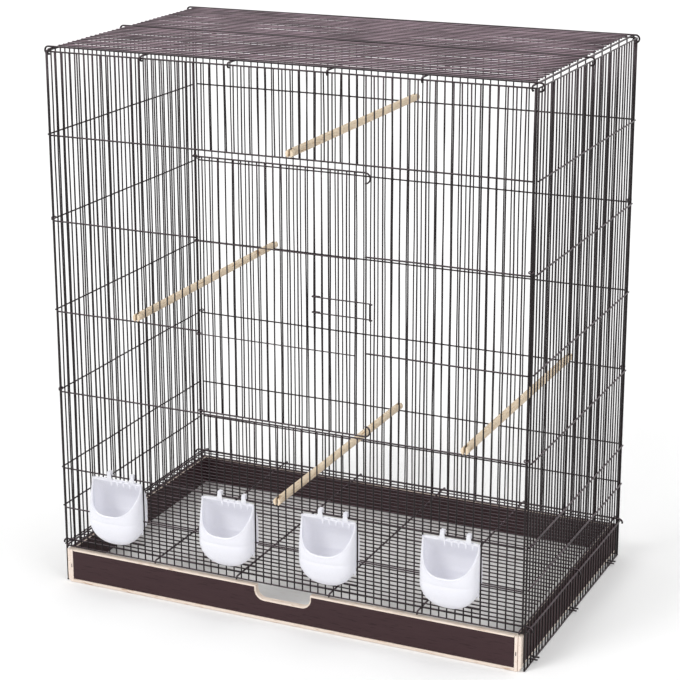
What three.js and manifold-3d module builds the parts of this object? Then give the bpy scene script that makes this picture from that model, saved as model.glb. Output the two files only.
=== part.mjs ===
// A canary breeding cage: six welded wire panels hooked together, a swinging
// front door with a sliding wire latch, a wooden pull-out tray on three wire
// runners, four plastic seed cups that hang in ports of the front wall, and
// four wooden perches. Millimetres, +Z up, the front faces -Y.
import * as THREE from 'three';
import { mergeVertices } from 'three/addons/utils/BufferGeometryUtils.js';
import Module from 'manifold-3d';

const wasm = await Module();
wasm.setup();

// ---------------------------------------------------------------- sizes ---
const CLEAR = 0.3; // gap kept between separate pieces
const WELD_GAP = 0.1; // gap between a bar and a rail that crosses it

// Cage
const WIDTH = 785; // between the centre lines of the side walls
const DEPTH = 470; // between the centre lines of the front and back walls
const WALL_TOP = 869; // centre height of the walls' top rails
const CORNER_INSET = 3.5; // a wall's end posts stand this far inside the corner

// Wires
const BAR = 2.2; // the closely spaced thin bars
const BAR_PITCH = 13.2; // wished pitch of the bars, rounded to fit each wall
const RAIL = 2.6; // the long rails that the bars are welded to
const POST = 3; // end post of a wall
const EDGE_BAR = 2.6; // bars beside the door and the feeder ports
const STOUT_BAR = 3; // two stouter bars in the back wall
const RIM_WIRE = 3; // border and middle wires of the roof and the floor grille
const CURL_WIRE = 2.4; // cross wires between the borders
const RING_WIRE = 2; // wire of the rings at corners and hinges

// Rails. The upper ones are shares of the height from the hanging rail to the top.
const FLOOR_RAIL = 62.5; // centre height
const LOWER_SHARE = 0.193;
const MIDDLE_SHARE = 0.391;
const UPPER_SHARE = 0.608;
const EAVES_SHARE = 0.808;

// Corner rings and curls
const RING_RISE = 5; // a corner ring lies this far above its rail
const ROOF_SWEEP = 200; // degrees that the roof's curls turn, to lock it on its rails
const FLOOR_SWEEP = 100; // degrees that the floor's hooks turn over their rails
const CURL_STEP = 34; // degrees from one facet of a curl to the next
const RING_SIDES = 8; // facets round a ring
const CROSS_WIRES = 4; // cross wires between the two borders of roof and floor

// Back wall
const STOUT_BAR_SHARE = 0.353; // between the two stouter bars, as a share of the width

// Door
const DOOR_SHARE = 0.353; // between the posts at the opening, as a share of the width
const DOOR_HINGE_SIDE = 12; // hinge post to the door's first bar
const DOOR_LATCH_SIDE = 17; // door's last bar to the latch post
const DOOR_WELD = 0.3; // the door's bars are pressed this deep into its rails
const DOOR_MIDDLE_RAIL = 1.8; // wire of the door's two middle rails
const DOOR_TOP_DROP = 10; // door's top rail below the eaves rail
const DOOR_FOOT_RISE = 5; // door's bottom rail above the lower rail
const DOOR_RAIL_DROP = 5; // door's middle rails below the wall's rails
const DOOR_HOOK_RADIUS = 8; // half-round hooks in front of the latch post

// Latch
const LATCH_WIRE = 2;
const LATCH_SHARE = 0.445; // middle of the latch, from the middle to the upper rail
const LATCH_SPAN = 24; // upper arm to lower arm
const LATCH_TRAVEL = 5; // from rest to where its locking bar is behind the post
const LATCH_NOSE = 2; // straight piece between the locking bar and the bend
const LATCH_EYE_TIP = 2; // the eye's back leg past the door bar, when locked
const LATCH_EYE_SLACK = 0.8; // free play of the door bar in its eye, at rest
const LATCH_EYE_BAR = 14; // the door bar that the eyes run on, from the hinge

// Feeder ports and feeders
const PORT_PITCHES = 7; // a port is this many bar pitches wide
const SILL_RISE = 25.5; // the rail under a port above the floor rail
const SILL_ROOM = 5.7; // inner bowl above the rail under its port
const PORT_SHARES = [-0.371, -0.118, 0.101, 0.353]; // middles, as shares of the width
const CUP_HEIGHT = 105; // top edge to the bottom of the face
const CUP_ROUND = 38; // height of the half-oval bottom
const CUP_TOP_DROP = 5; // top edge below the hanging rail
const CUP_WALL = 2;
const CUP_OUT = 32; // how far the outer bowl bulges from the face
const CUP_OUT_MARGIN = 2; // flat border of the face round the outer bowl
const CUP_LIP_DROP = 52; // front lip below the top edge
const CUP_IN = 24; // how far the inner bowl reaches behind the face
const CUP_IN_MARGIN = 4; // inner bowl to the port's bars
const CUP_IN_TOP = 14; // back of the inner bowl's rim below the top edge
const CUP_IN_LIP = 42; // inner lip below the top edge
const CUP_IN_BOTTOM = 9; // inner bowl's bottom above the face's bottom
const CUP_GATE_LOW = 12; // seed gate in the face, above the face's bottom
const CUP_GATE_HIGH = 40;
const CUP_GATE_MARGIN = 12; // seed gate to the side of the inner bowl
const CUP_FACETS = 16; // facets round a full bowl
const TAB_WIDTH = 8; // hook tabs over the hanging rail
const TAB_RISE = 6; // top of a tab above its inner face
const TAB_TIP_DROP = 3; // rear tip of a tab below the top of the rail
const TAB_THICK = 2;
const TAB_PITCHES = [-1, 2]; // tab places in bar pitches from the middle
const RIB_COUNT = 4;
const RIB_SPACING = 8;
const RIB_START = 2; // first rib from the middle of the cup
const RIB_LENGTH = 9;
const RIB_DEPTH = 2.5;
const RIB_WIDTH = 1.5;

// Perches
const PERCH = 12.5; // across the flats
const PERCH_SIDES = 8;
const PERCH_PRONG = 6; // prongs reach this far past the bars
const PERCH_SLOT_DEPTH = 14;
const PERCHES = [
  { name: 'perch_top', share: 0.025, rail: 'eaves' },
  { name: 'perch_left', share: -0.311, rail: 'middle' },
  { name: 'perch_right', share: 0.378, rail: 'lower' },
  { name: 'perch_low', share: -0.008, rail: 'hang' },
];

// Tray and its runners
const RUNNER = 2.8;
const RUNNER_SPREAD = 9; // between the two legs of a runner
const RUNNER_REACH = 8; // free ends past the right wall
const RUNNER_BEND_REACH = 3; // start of the bend past the left wall
const RUNNER_PLACES = [0.083, 0.473, 0.9]; // shares of the depth, from the front
const BOARD = 10; // thickness of the tray's boards
const TRAY_HEADROOM = 4.2; // tray's rim below the front wall's foot rail
const TRAY_SIDE_GAP = 2.5; // tray to the side walls' posts
const TRAY_BACK_GAP = 3; // tray to the back wall's posts
const TRAY_PROUD = 3; // front face stands this far in front of the front wall
const TRAY_BASE = 3.5; // thickness of the bottom board
const EDGING_HEIGHT = 5;
const SKIRT_LIFT = 0.8; // front board's edging above the ground
const BATTEN_ROUND = 6; // rounded outer foot of a corner batten
const CUTOUT_WIDTH = 93;
const CUTOUT_DEPTH = 21;
const CUTOUT_RADIUS = 15;
const CUTOUT_STEPS = 6;

// Cutting blocks
const CUT_OVER = 1; // a cut runs this far past the face that it opens
const CUT_REACH = 4; // blocks that take one side away are this many cups large

// -------------------------------------------------------- derived sizes ---
const RAIL_SET = BAR / 2 + RAIL / 2 + WELD_GAP; // rails lie outside the bars
const WALL_HALF = WIDTH / 2 - CORNER_INSET;
const SIDE_HALF = DEPTH / 2 - CORNER_INSET;
const CORNER_OF_SQUARE = Math.SQRT1_2; // half a square's diagonal over its side
const PORT_SILL = FLOOR_RAIL + SILL_RISE;
const CUP_SEAT = CUP_TOP_DROP + CUP_HEIGHT - CUP_IN_BOTTOM; // inner bowl under the rail
const HANG_RAIL = PORT_SILL + RAIL / 2 + SILL_ROOM + CUP_SEAT;
const KICK_RAIL = (FLOOR_RAIL + HANG_RAIL) / 2;
const levelAt = (share) => HANG_RAIL + share * (WALL_TOP - HANG_RAIL);
const LOWER_RAIL = levelAt(LOWER_SHARE);
const MIDDLE_RAIL = levelAt(MIDDLE_SHARE);
const UPPER_RAIL = levelAt(UPPER_SHARE);
const EAVES_RAIL = levelAt(EAVES_SHARE);
const RAIL_HEIGHTS = { hang: HANG_RAIL, lower: LOWER_RAIL, middle: MIDDLE_RAIL, eaves: EAVES_RAIL };

const roundOf = (rail, wire) => rail * CORNER_OF_SQUARE + CLEAR + wire / 2;
const span = (count) => Array.from({ length: count }, (_, index) => index);

function barPlaces(half) {
  const count = Math.round((2 * half) / BAR_PITCH);
  return span(count + 1).map((index) => -half + (2 * half * index) / count);
}

const FRONT_BARS = barPlaces(WALL_HALF);
const SIDE_BARS = barPlaces(SIDE_HALF);
const PITCH = FRONT_BARS[1] - FRONT_BARS[0];

const nearestBar = (places, at) =>
  places.reduce((best, place) => (Math.abs(place - at) < Math.abs(best - at) ? place : best));

function nearestGap(places, at) {
  const half = (places[1] - places[0]) / 2;
  const gaps = places.slice(0, -1).map((place) => place + half);
  return nearestBar(gaps, at);
}

const HINGE_X = nearestBar(FRONT_BARS, (-DOOR_SHARE * WIDTH) / 2);
const LATCH_POST_X = nearestBar(FRONT_BARS, (DOOR_SHARE * WIDTH) / 2);
const PORT_WIDTH = PORT_PITCHES * PITCH;
const CUP_FACE_WIDTH = PORT_WIDTH - 2 * CLEAR;
const CURL_RISE = roundOf(RAIL, RIM_WIRE); // a curl's radius, and its wire above the rail
const RUNNER_Z = RAIL + CLEAR + RUNNER / 2;
const TRAY_FLOOR = RUNNER_Z + RUNNER / 2 + CLEAR;
const TRAY_TOP = FLOOR_RAIL - RAIL / 2 - TRAY_HEADROOM;

// -------------------------------------------------------------- helpers ---
// A three.js geometry as a solid that can be joined and cut.
function solidOf(geometry) {
  const plain = geometry.clone();
  plain.deleteAttribute('normal');
  plain.deleteAttribute('uv');
  const merged = mergeVertices(plain);
  const mesh = new wasm.Mesh({
    numProp: 3,
    vertProperties: new Float32Array(merged.attributes.position.array),
    triVerts: new Uint32Array(merged.index.array),
  });
  return new wasm.Manifold(mesh);
}

const join = (solids) => solids.reduce((whole, solid) => whole.add(solid));

function geometryOf(solid) {
  const { vertProperties, triVerts } = solid.getMesh();
  const geometry = new THREE.BufferGeometry();
  geometry.setAttribute('position', new THREE.BufferAttribute(vertProperties, 3));
  geometry.setIndex(new THREE.BufferAttribute(triVerts, 1));
  geometry.computeVertexNormals();
  return geometry;
}

// A box between two opposite corners.
function block(low, high) {
  const size = high.map((value, axis) => value - low[axis]);
  const middle = high.map((value, axis) => (value + low[axis]) / 2);
  return solidOf(new THREE.BoxGeometry(...size).translate(...middle));
}

// A straight square wire between two points that differ along one axis.
function wire(from, to, size) {
  const low = from.map((value, axis) => Math.min(value, to[axis]));
  const high = from.map((value, axis) => Math.max(value, to[axis]));
  const along = low.findIndex((value, axis) => value !== high[axis]);
  const grown = (values, side) =>
    values.map((value, axis) => (axis === along ? value : value + (side * size) / 2));
  return block(grown(low, -1), grown(high, 1));
}

// Points of a circular arc, as pairs, from one angle over a sweep in degrees.
function arc([a, b], radius, from, sweep) {
  const steps = Math.ceil(Math.abs(sweep) / CURL_STEP);
  return span(steps + 1).map((index) => {
    const angle = THREE.MathUtils.degToRad(from + (sweep * index) / steps);
    return [a + radius * Math.cos(angle), b + radius * Math.sin(angle)];
  });
}

const X = new THREE.Vector3(1, 0, 0);
const Y = new THREE.Vector3(0, 1, 0);
const Z = new THREE.Vector3(0, 0, 1);

// The place at one side of a bent line, at the mitre of a point's two stretches.
function mitre(line, index, reach) {
  const normalOf = ([start, end]) => {
    const along = end.clone().sub(start).normalize();
    return new THREE.Vector2(-along.y, along.x);
  };
  const stretchesAt = [index - 1, index].map((at) => [line[at], line[at + 1]]);
  const normals = stretchesAt.filter(([start, end]) => start && end).map(normalOf);
  const sum = normals.reduce((total, normal) => total.clone().add(normal)).normalize();
  return line[index].clone().addScaledVector(sum, reach / sum.dot(normals[0]));
}

// A square wire bent in the plane of two axes. The points are pairs along
// those axes; "place" is where the plane lies along the third.
function bentWire(points, [axisA, axisB], place, size) {
  const line = points.map(([a, b]) => new THREE.Vector2(a, b));
  const side = (reach) => line.map((_, index) => mitre(line, index, reach));
  const outline = new THREE.Shape([...side(size / 2), ...side(-size / 2).reverse()]);
  const bent = new THREE.ExtrudeGeometry(outline, { depth: size, bevelEnabled: false });
  const normal = axisA.clone().cross(axisB);
  bent.translate(0, 0, -size / 2);
  bent.applyMatrix4(new THREE.Matrix4().makeBasis(axisA, axisB, normal));
  const out = new THREE.Vector3(Math.abs(normal.x), Math.abs(normal.y), Math.abs(normal.z));
  const move = out.multiplyScalar(place);
  return solidOf(bent.translate(move.x, move.y, move.z));
}

// A closed ring round an upright post.
function ring(x, y, z, radius) {
  const torus = new THREE.TorusGeometry(radius, RING_WIRE / 2, 4, RING_SIDES);
  return solidOf(torus.translate(x, y, z));
}

const paint = new THREE.MeshStandardMaterial({ color: 0x2c2224, roughness: 0.35, metalness: 0.5 });
const laminate = new THREE.MeshStandardMaterial({ color: 0x4a383a, roughness: 0.55, metalness: 0 });
const rawWood = new THREE.MeshStandardMaterial({ color: 0xe9cdb4, roughness: 0.8, metalness: 0 });
const baseBoard = new THREE.MeshStandardMaterial({ color: 0xe9e7e2, roughness: 0.6, metalness: 0 });
const dowelWood = new THREE.MeshStandardMaterial({ color: 0xe6cfa8, roughness: 0.7, metalness: 0 });
const plastic = new THREE.MeshStandardMaterial({ color: 0xf1f1f6, roughness: 0.3, metalness: 0 });

function piece(name, solid, look) {
  const mesh = new THREE.Mesh(geometryOf(solid), look.clone());
  mesh.name = name;
  return mesh;
}

// -------------------------------------------------------- wire grilles ---
// Every wall is drawn in the plane y = 0, with its outside towards -Y.
const upright = (x, low, high, size = BAR) => wire([x, 0, low], [x, 0, high], size);
const rail = (from, to, z, y = 0, size = RAIL) => wire([from, y, z], [to, y, z], size);

// A flat field of bars. The rails at its foot and head lie in line with the
// bars and reach from "from" to "to"; a field may have no head rail. Its other
// rails lie outside the bars, and are sunk a little into the stouter ones.
function grille({ bars, foot, head, rails = [], headRail = true, sizeOf = () => BAR, ...rest }) {
  const first = bars[0];
  const last = bars[bars.length - 1];
  const { from = first - sizeOf(first) / 2, to = last + sizeOf(last) / 2, extras = [] } = rest;
  const parts = bars.map((x) => upright(x, foot, head, sizeOf(x)));
  parts.push(rail(from, to, foot));
  if (headRail) parts.push(rail(from, to, head));
  const outer = rails.map((z) => rail(first, last, z, -RAIL_SET));
  return join([...parts, ...outer, ...extras]);
}

const WALL_RAILS = [FLOOR_RAIL, KICK_RAIL, HANG_RAIL, LOWER_RAIL, MIDDLE_RAIL, UPPER_RAIL, EAVES_RAIL];
const isEndOf = (bars, x) => x === bars[0] || x === bars[bars.length - 1];

function backWall() {
  const spread = STOUT_BAR_SHARE * WIDTH;
  const stout = [-1, 1].map((side) => nearestBar(FRONT_BARS, (side * spread) / 2));
  const sizeOf = (x) => (isEndOf(FRONT_BARS, x) ? POST : stout.includes(x) ? STOUT_BAR : BAR);
  return grille({ bars: FRONT_BARS, foot: RAIL / 2, head: WALL_TOP, rails: WALL_RAILS, sizeOf });
}

// A side wall carries the rings that hold the front and back walls' posts.
function sideWall() {
  const radius = roundOf(POST, RING_WIRE);
  const rings = [LOWER_RAIL, UPPER_RAIL].flatMap((height) =>
    [-1, 1].map((end) => ring((end * DEPTH) / 2, CORNER_INSET, height + RING_RISE, radius)),
  );
  const sizeOf = (x) => (isEndOf(SIDE_BARS, x) ? POST : BAR);
  const frame = { bars: SIDE_BARS, foot: RAIL / 2, head: WALL_TOP, rails: WALL_RAILS };
  return grille({ ...frame, sizeOf, extras: rings });
}

// The front wall is a set of flat fields round the door and the feeder
// ports, as its rails are all broken there. A field's bars end in rails.
const barsFrom = (low, high) => FRONT_BARS.filter((x) => x > low - BAR && x < high + BAR);

function portAt(centre) {
  const left = nearestBar(FRONT_BARS, centre - PORT_WIDTH / 2);
  return { left, right: left + PORT_WIDTH };
}

const PORTS = PORT_SHARES.map((share) => portAt(share * WIDTH));
const EDGE_BARS = [HINGE_X, LATCH_POST_X, ...PORTS.flatMap(({ left, right }) => [left, right])];
const isEdge = (x) => EDGE_BARS.some((edge) => Math.abs(x - edge) < BAR);
const frontSize = (x) => (isEndOf(FRONT_BARS, x) ? POST : isEdge(x) ? EDGE_BAR : BAR);

// Beside the door, from the hanging rail to the top.
function sideField(low, high) {
  const rails = [LOWER_RAIL, MIDDLE_RAIL, UPPER_RAIL, EAVES_RAIL];
  return grille({ bars: barsFrom(low, high), foot: HANG_RAIL, head: WALL_TOP, rails, sizeOf: frontSize });
}

// Between two uprights at left and right, that belong to other fields.
function insetField(left, right, foot, head) {
  const gap = (x) => frontSize(x) / 2 + CLEAR;
  const bars = barsFrom(left, right).slice(1, -1);
  return grille({ bars, foot, head, from: left + gap(left), to: right - gap(right) });
}

// Between two ports, from the floor rail to just under the hanging rail.
function postField(low, high) {
  const head = HANG_RAIL - RAIL / 2 - CLEAR;
  const frame = { bars: barsFrom(low, high), foot: FLOOR_RAIL, head, headRail: false };
  return grille({ ...frame, rails: [KICK_RAIL], sizeOf: frontSize });
}

function frontFields() {
  const fields = {
    left: sideField(-WALL_HALF, HINGE_X),
    right: sideField(LATCH_POST_X, WALL_HALF),
    over_door: insetField(HINGE_X, LATCH_POST_X, EAVES_RAIL, WALL_TOP),
    under_door: insetField(HINGE_X, LATCH_POST_X, HANG_RAIL, LOWER_RAIL),
  };
  const edges = [-WALL_HALF, ...PORTS.flatMap(({ left, right }) => [left, right]), WALL_HALF];
  span(PORTS.length + 1).forEach((index) => {
    fields[`post_${index + 1}`] = postField(edges[2 * index], edges[2 * index + 1]);
  });
  PORTS.forEach(({ left, right }, index) => {
    fields[`sill_${index + 1}`] = insetField(left, right, FLOOR_RAIL, PORT_SILL);
  });
  return fields;
}

// ------------------------------------------------- roof and floor grille ---
// Thin bars run across the cage, on top of the wires that run from front to
// back. Those wires curl round a rail of the front and the back wall. The
// borders along the bars, and a middle wire, curl round the side walls' rails.
function lidPanel({ level, sweep, frontRail, backRail, sideRail }) {
  const crossZ = level + CURL_RISE;
  const barZ = crossZ + CURL_WIRE / 2 + BAR / 2 + WELD_GAP;
  const halfX = nearestGap(FRONT_BARS, WALL_HALF);
  const halfY = nearestGap(SIDE_BARS, SIDE_HALF);
  const bars = barPlaces(halfY)
    .filter((y) => ![-halfY, 0, halfY].some((rim) => Math.abs(y - rim) < BAR))
    .map((y) => wire([-halfX, y, barZ], [halfX, y, barZ], BAR));
  const curledWire = (low, high, z, axes, place, size) => {
    const radius = z - level;
    const start = arc([low, level], radius, 90 + sweep, -sweep);
    const end = arc([high, level], radius, 90, -sweep);
    return bentWire([...start, ...end], axes, place, size);
  };
  const rims = [-halfY, 0, halfY].map((y) =>
    curledWire(-sideRail, sideRail, barZ, [X, Z], y, RIM_WIRE),
  );
  const cross = span(CROSS_WIRES + 2).map((index) => {
    const share = index / (CROSS_WIRES + 1) - 1 / 2;
    const x = nearestGap(FRONT_BARS, share * 2 * halfX);
    const size = Math.abs(x) < halfX - BAR ? CURL_WIRE : RIM_WIRE;
    return curledWire(-frontRail, backRail, crossZ, [Y, Z], x, size);
  });
  return join([...bars, ...rims, ...cross]);
}

const roof = () =>
  lidPanel({
    level: WALL_TOP,
    sweep: ROOF_SWEEP,
    frontRail: DEPTH / 2,
    backRail: DEPTH / 2,
    sideRail: WIDTH / 2,
  });

const floorGrille = () =>
  lidPanel({
    level: FLOOR_RAIL,
    sweep: FLOOR_SWEEP,
    frontRail: DEPTH / 2,
    backRail: DEPTH / 2 + RAIL_SET,
    sideRail: WIDTH / 2 + RAIL_SET,
  });

// ----------------------------------------------------------------- door ---
const DOOR_RAIL_Y = -(EDGE_BAR / 2 + RAIL / 2 + CLEAR); // clear of the posts
const DOOR_BAR_Y = DOOR_RAIL_Y + RAIL / 2 - DOOR_WELD + BAR / 2;
const DOOR_TOP = EAVES_RAIL - DOOR_TOP_DROP;
const DOOR_FOOT = LOWER_RAIL + DOOR_FOOT_RISE;

function doorBars() {
  const first = HINGE_X + DOOR_HINGE_SIDE;
  const last = LATCH_POST_X - DOOR_LATCH_SIDE;
  const count = Math.round((last - first) / BAR_PITCH);
  return span(count + 1).map((index) => first + ((last - first) * index) / count);
}

// The door's rails start just clear of the hinge post, at a ring round it.
const DOOR_RAIL_START = HINGE_X + EDGE_BAR / 2 + CLEAR;
const hingeRing = (z) => ring(HINGE_X, 0, z, roundOf(EDGE_BAR, RING_WIRE));

// The door's bars are pressed into its outer rails. Its middle rails are
// thinner, and welded to the first and the last bar.
function door() {
  const bars = doorBars();
  const last = bars[bars.length - 1];
  const parts = bars.map((x) => wire([x, DOOR_BAR_Y, DOOR_FOOT], [x, DOOR_BAR_Y, DOOR_TOP], BAR));
  const tie = (x, z) =>
    block([x - BAR / 2, DOOR_RAIL_Y, z - BAR / 2], [x + BAR / 2, DOOR_BAR_Y, z + BAR / 2]);
  for (const [z, side] of [[DOOR_TOP, -1], [DOOR_FOOT, 1]]) {
    const hook = arc([LATCH_POST_X, z + side * DOOR_HOOK_RADIUS], DOOR_HOOK_RADIUS, -90 * side, 180 * side);
    parts.push(bentWire([[DOOR_RAIL_START, z], ...hook], [X, Z], DOOR_RAIL_Y, RAIL), hingeRing(z));
  }
  for (const height of [MIDDLE_RAIL, UPPER_RAIL]) {
    const z = height - DOOR_RAIL_DROP;
    parts.push(rail(DOOR_RAIL_START, last, z, DOOR_RAIL_Y, DOOR_MIDDLE_RAIL), hingeRing(z));
    parts.push(tie(bars[0], z), tie(last, z));
  }
  return join(parts);
}

// ---------------------------------------------------------------- latch ---
// Two arms in front of the door's bars. At the left each arm turns back
// round a door bar as a long eye. At the right it turns back past the latch
// post into the locking bar, which slides behind the post to lock.
function latch() {
  const eyeBar = doorBars()[LATCH_EYE_BAR];
  const front = DOOR_BAR_Y - BAR / 2 - CLEAR - LATCH_WIRE / 2;
  const behindBar = DOOR_BAR_Y + BAR / 2 + CLEAR + LATCH_WIRE / 2;
  const behindPost = EDGE_BAR / 2 + CLEAR + LATCH_WIRE / 2;
  const armY = Math.min(front, -behindPost);
  const lockX = LATCH_POST_X + LATCH_TRAVEL;
  const tail = LATCH_EYE_SLACK + LATCH_TRAVEL + BAR / 2 + LATCH_EYE_TIP;
  const noseX = lockX + LATCH_NOSE;
  const eyeX = eyeBar - LATCH_EYE_SLACK;
  const eyeRadius = (behindBar - armY) / 2;
  const noseRadius = (behindPost - armY) / 2;
  const line = [
    [eyeX + tail, behindBar],
    ...arc([eyeX, armY + eyeRadius], eyeRadius, 90, 180),
    ...arc([noseX, armY + noseRadius], noseRadius, -90, 180),
    [lockX - LATCH_WIRE / 2, behindPost],
  ];
  const centre = MIDDLE_RAIL + LATCH_SHARE * (UPPER_RAIL - MIDDLE_RAIL);
  const foot = centre - LATCH_SPAN / 2;
  const top = centre + LATCH_SPAN / 2;
  const arms = [foot, top].map((z) => bentWire(line, [X, Y], z, LATCH_WIRE));
  return join([...arms, wire([lockX, behindPost, foot], [lockX, behindPost, top], LATCH_WIRE)]);
}

// -------------------------------------------------------------- feeders ---
// Drawn with the hanging rail's axis at the origin and the outside to -Y.
const HOOK_ROOM = RAIL * CORNER_OF_SQUARE + CLEAR / 2; // free radius round the rail
const FACE_BACK = -HOOK_ROOM;
const FACE_FRONT = FACE_BACK - CUP_WALL;
const FACE_TOP = -CUP_TOP_DROP;
const FACE_FOOT = FACE_TOP - CUP_HEIGHT;
const ROUND_CENTRE = FACE_FOOT + CUP_ROUND;

// A bowl: an upright oval column over half an oval ball, cut off flat at the
// top. Its middle in plan lies at y, and the ball's centre at the cup's bend.
function bowl(halfWidth, reach, drop, top, y) {
  const column = new THREE.CylinderGeometry(1, 1, 1, CUP_FACETS);
  column.rotateX(Math.PI / 2).translate(0, 0, 1 / 2);
  column.scale(halfWidth, reach, top - ROUND_CENTRE).translate(0, y, ROUND_CENTRE);
  const ball = new THREE.SphereGeometry(1, CUP_FACETS, CUP_FACETS / 2);
  ball.rotateX(Math.PI / 2).scale(halfWidth, reach, drop).translate(0, y, ROUND_CENTRE);
  return solidOf(column).add(solidOf(ball));
}

// Everything on one side of the cup's face, as a large block.
function halfSpace(side, y) {
  const far = CUT_REACH * CUP_HEIGHT;
  const low = side < 0 ? -far : y;
  const high = side < 0 ? y : far;
  return block([-far, low, -far], [far, high, far]);
}

// A large block whose underside slopes from the face's edge to the lip.
function slopedCut(faceY, faceZ, lipY, lipZ) {
  const run = lipY - faceY;
  const drop = lipZ - faceZ;
  const far = CUT_REACH;
  const section = new THREE.Shape([
    new THREE.Vector2(faceY - run * far, faceZ - drop * far),
    new THREE.Vector2(faceY + run * far, faceZ + drop * far),
    new THREE.Vector2(faceY + run * far, faceZ - drop * far),
  ]);
  const depth = 2 * CUP_FACE_WIDTH;
  const wedge = new THREE.ExtrudeGeometry(section, { depth, bevelEnabled: false });
  wedge.rotateY(Math.PI / 2).rotateX(Math.PI / 2);
  return solidOf(wedge.translate(-CUP_FACE_WIDTH, 0, 0));
}

// One half of the cup, hollow and open above its sloping rim. Its edge is
// sunk halfway into the face.
function halfCup({ side, halfWidth, reach, foot, rimZ, lipZ }) {
  const faceY = (FACE_FRONT + FACE_BACK) / 2;
  const drop = ROUND_CENTRE - foot;
  const wall = CUP_WALL;
  const outer = bowl(halfWidth, reach, drop, FACE_TOP, faceY);
  const inner = bowl(halfWidth - wall, reach - wall, drop - wall, FACE_TOP + wall, faceY);
  const shell = outer.subtract(inner).intersect(halfSpace(side, faceY));
  return shell.subtract(slopedCut(faceY, rimZ, faceY + side * reach, lipZ));
}

function cupFace() {
  const half = CUP_FACE_WIDTH / 2;
  const outline = new THREE.Shape();
  outline.moveTo(half, FACE_TOP);
  outline.lineTo(-half, FACE_TOP);
  outline.lineTo(-half, ROUND_CENTRE);
  outline.absellipse(0, ROUND_CENTRE, half, CUP_ROUND, Math.PI, 2 * Math.PI);
  const options = { depth: CUP_WALL, bevelEnabled: false, curveSegments: CUP_FACETS / 4 };
  const plate = new THREE.ExtrudeGeometry(outline, options);
  return solidOf(plate.rotateX(Math.PI / 2).translate(0, FACE_BACK, 0));
}

function hookTab(x) {
  const left = x - TAB_WIDTH / 2;
  const right = x + TAB_WIDTH / 2;
  const roofLow = HOOK_ROOM;
  const top = HOOK_ROOM + TAB_RISE;
  const tip = RAIL / 2 - TAB_TIP_DROP;
  return join([
    block([left, FACE_FRONT, FACE_TOP - CUP_WALL], [right, FACE_BACK, top]),
    block([left, FACE_FRONT, roofLow], [right, HOOK_ROOM + TAB_THICK, top]),
    block([left, HOOK_ROOM, tip], [right, HOOK_ROOM + TAB_THICK, top]),
  ]);
}

function cup() {
  const inHalf = (PORT_WIDTH - BAR) / 2 - CUP_IN_MARGIN;
  const outer = halfCup({
    side: -1,
    halfWidth: CUP_FACE_WIDTH / 2 - CUP_OUT_MARGIN,
    reach: CUP_OUT,
    foot: FACE_FOOT + CUP_OUT_MARGIN,
    rimZ: FACE_TOP,
    lipZ: FACE_TOP - CUP_LIP_DROP,
  });
  const inner = halfCup({
    side: 1,
    halfWidth: inHalf,
    reach: CUP_IN,
    foot: FACE_FOOT + CUP_IN_BOTTOM,
    rimZ: FACE_TOP - CUP_IN_TOP,
    lipZ: FACE_TOP - CUP_IN_LIP,
  });
  const gateHalf = inHalf - CUP_GATE_MARGIN;
  const gate = block(
    [-gateHalf, FACE_FRONT - CUP_WALL, FACE_FOOT + CUP_GATE_LOW],
    [gateHalf, FACE_BACK + CUP_WALL, FACE_FOOT + CUP_GATE_HIGH],
  );
  const ribs = span(RIB_COUNT).map((index) => {
    const x = RIB_START + index * RIB_SPACING;
    return block(
      [x, FACE_FRONT - RIB_DEPTH, FACE_TOP - RIB_LENGTH],
      [x + RIB_WIDTH, FACE_FRONT, FACE_TOP],
    );
  });
  const face = cupFace().subtract(gate);
  return join([face, outer, inner, ...TAB_PITCHES.map((at) => hookTab(at * PITCH)), ...ribs]);
}

// -------------------------------------------------------------- perches ---
// An eight-sided dowel whose slotted ends straddle a bar of the front and
// the back wall and rest on their rails. Drawn from front to back, y = 0 at
// the middle of the cage, z = 0 at the dowel's axis.
function perch() {
  const length = DEPTH + 2 * PERCH_PRONG;
  const radius = PERCH / 2 / Math.cos(Math.PI / PERCH_SIDES);
  const dowel = new THREE.CylinderGeometry(radius, radius, length, PERCH_SIDES);
  dowel.rotateY(Math.PI / PERCH_SIDES);
  const slotHalf = BAR / 2 + CLEAR;
  const slots = [-1, 1].map((end) => {
    const tip = (end * length) / 2;
    const root = tip - end * PERCH_SLOT_DEPTH;
    const past = tip + end * CUT_OVER;
    const [low, high] = [Math.min(past, root), Math.max(past, root)];
    return block([-slotHalf, low, -PERCH], [slotHalf, high, PERCH]);
  });
  return solidOf(dowel).subtract(join(slots));
}

// --------------------------------------------------------------- runners ---
// A hairpin of wire under the tray. It lies on both side walls' bottom rails,
// with a bar of each wall between its legs.
function runner() {
  const radius = RUNNER_SPREAD / 2;
  const end = WIDTH / 2 + RUNNER_REACH;
  const bend = arc([-WIDTH / 2 - RUNNER_BEND_REACH, 0], radius, -90, -180);
  return bentWire([[end, -radius], ...bend, [end, radius]], [X, Y], 0, RUNNER);
}

// ------------------------------------------------------------------ tray ---
const TRAY_HALF = WIDTH / 2 - POST / 2 - TRAY_SIDE_GAP;
const TRAY_FRONT = -DEPTH / 2 - TRAY_PROUD;
const TRAY_BACK = DEPTH / 2 - POST / 2 - TRAY_BACK_GAP;
const BOARD_INNER = TRAY_HALF - BOARD;
const FRONT_INNER = TRAY_FRONT + BOARD;

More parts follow.
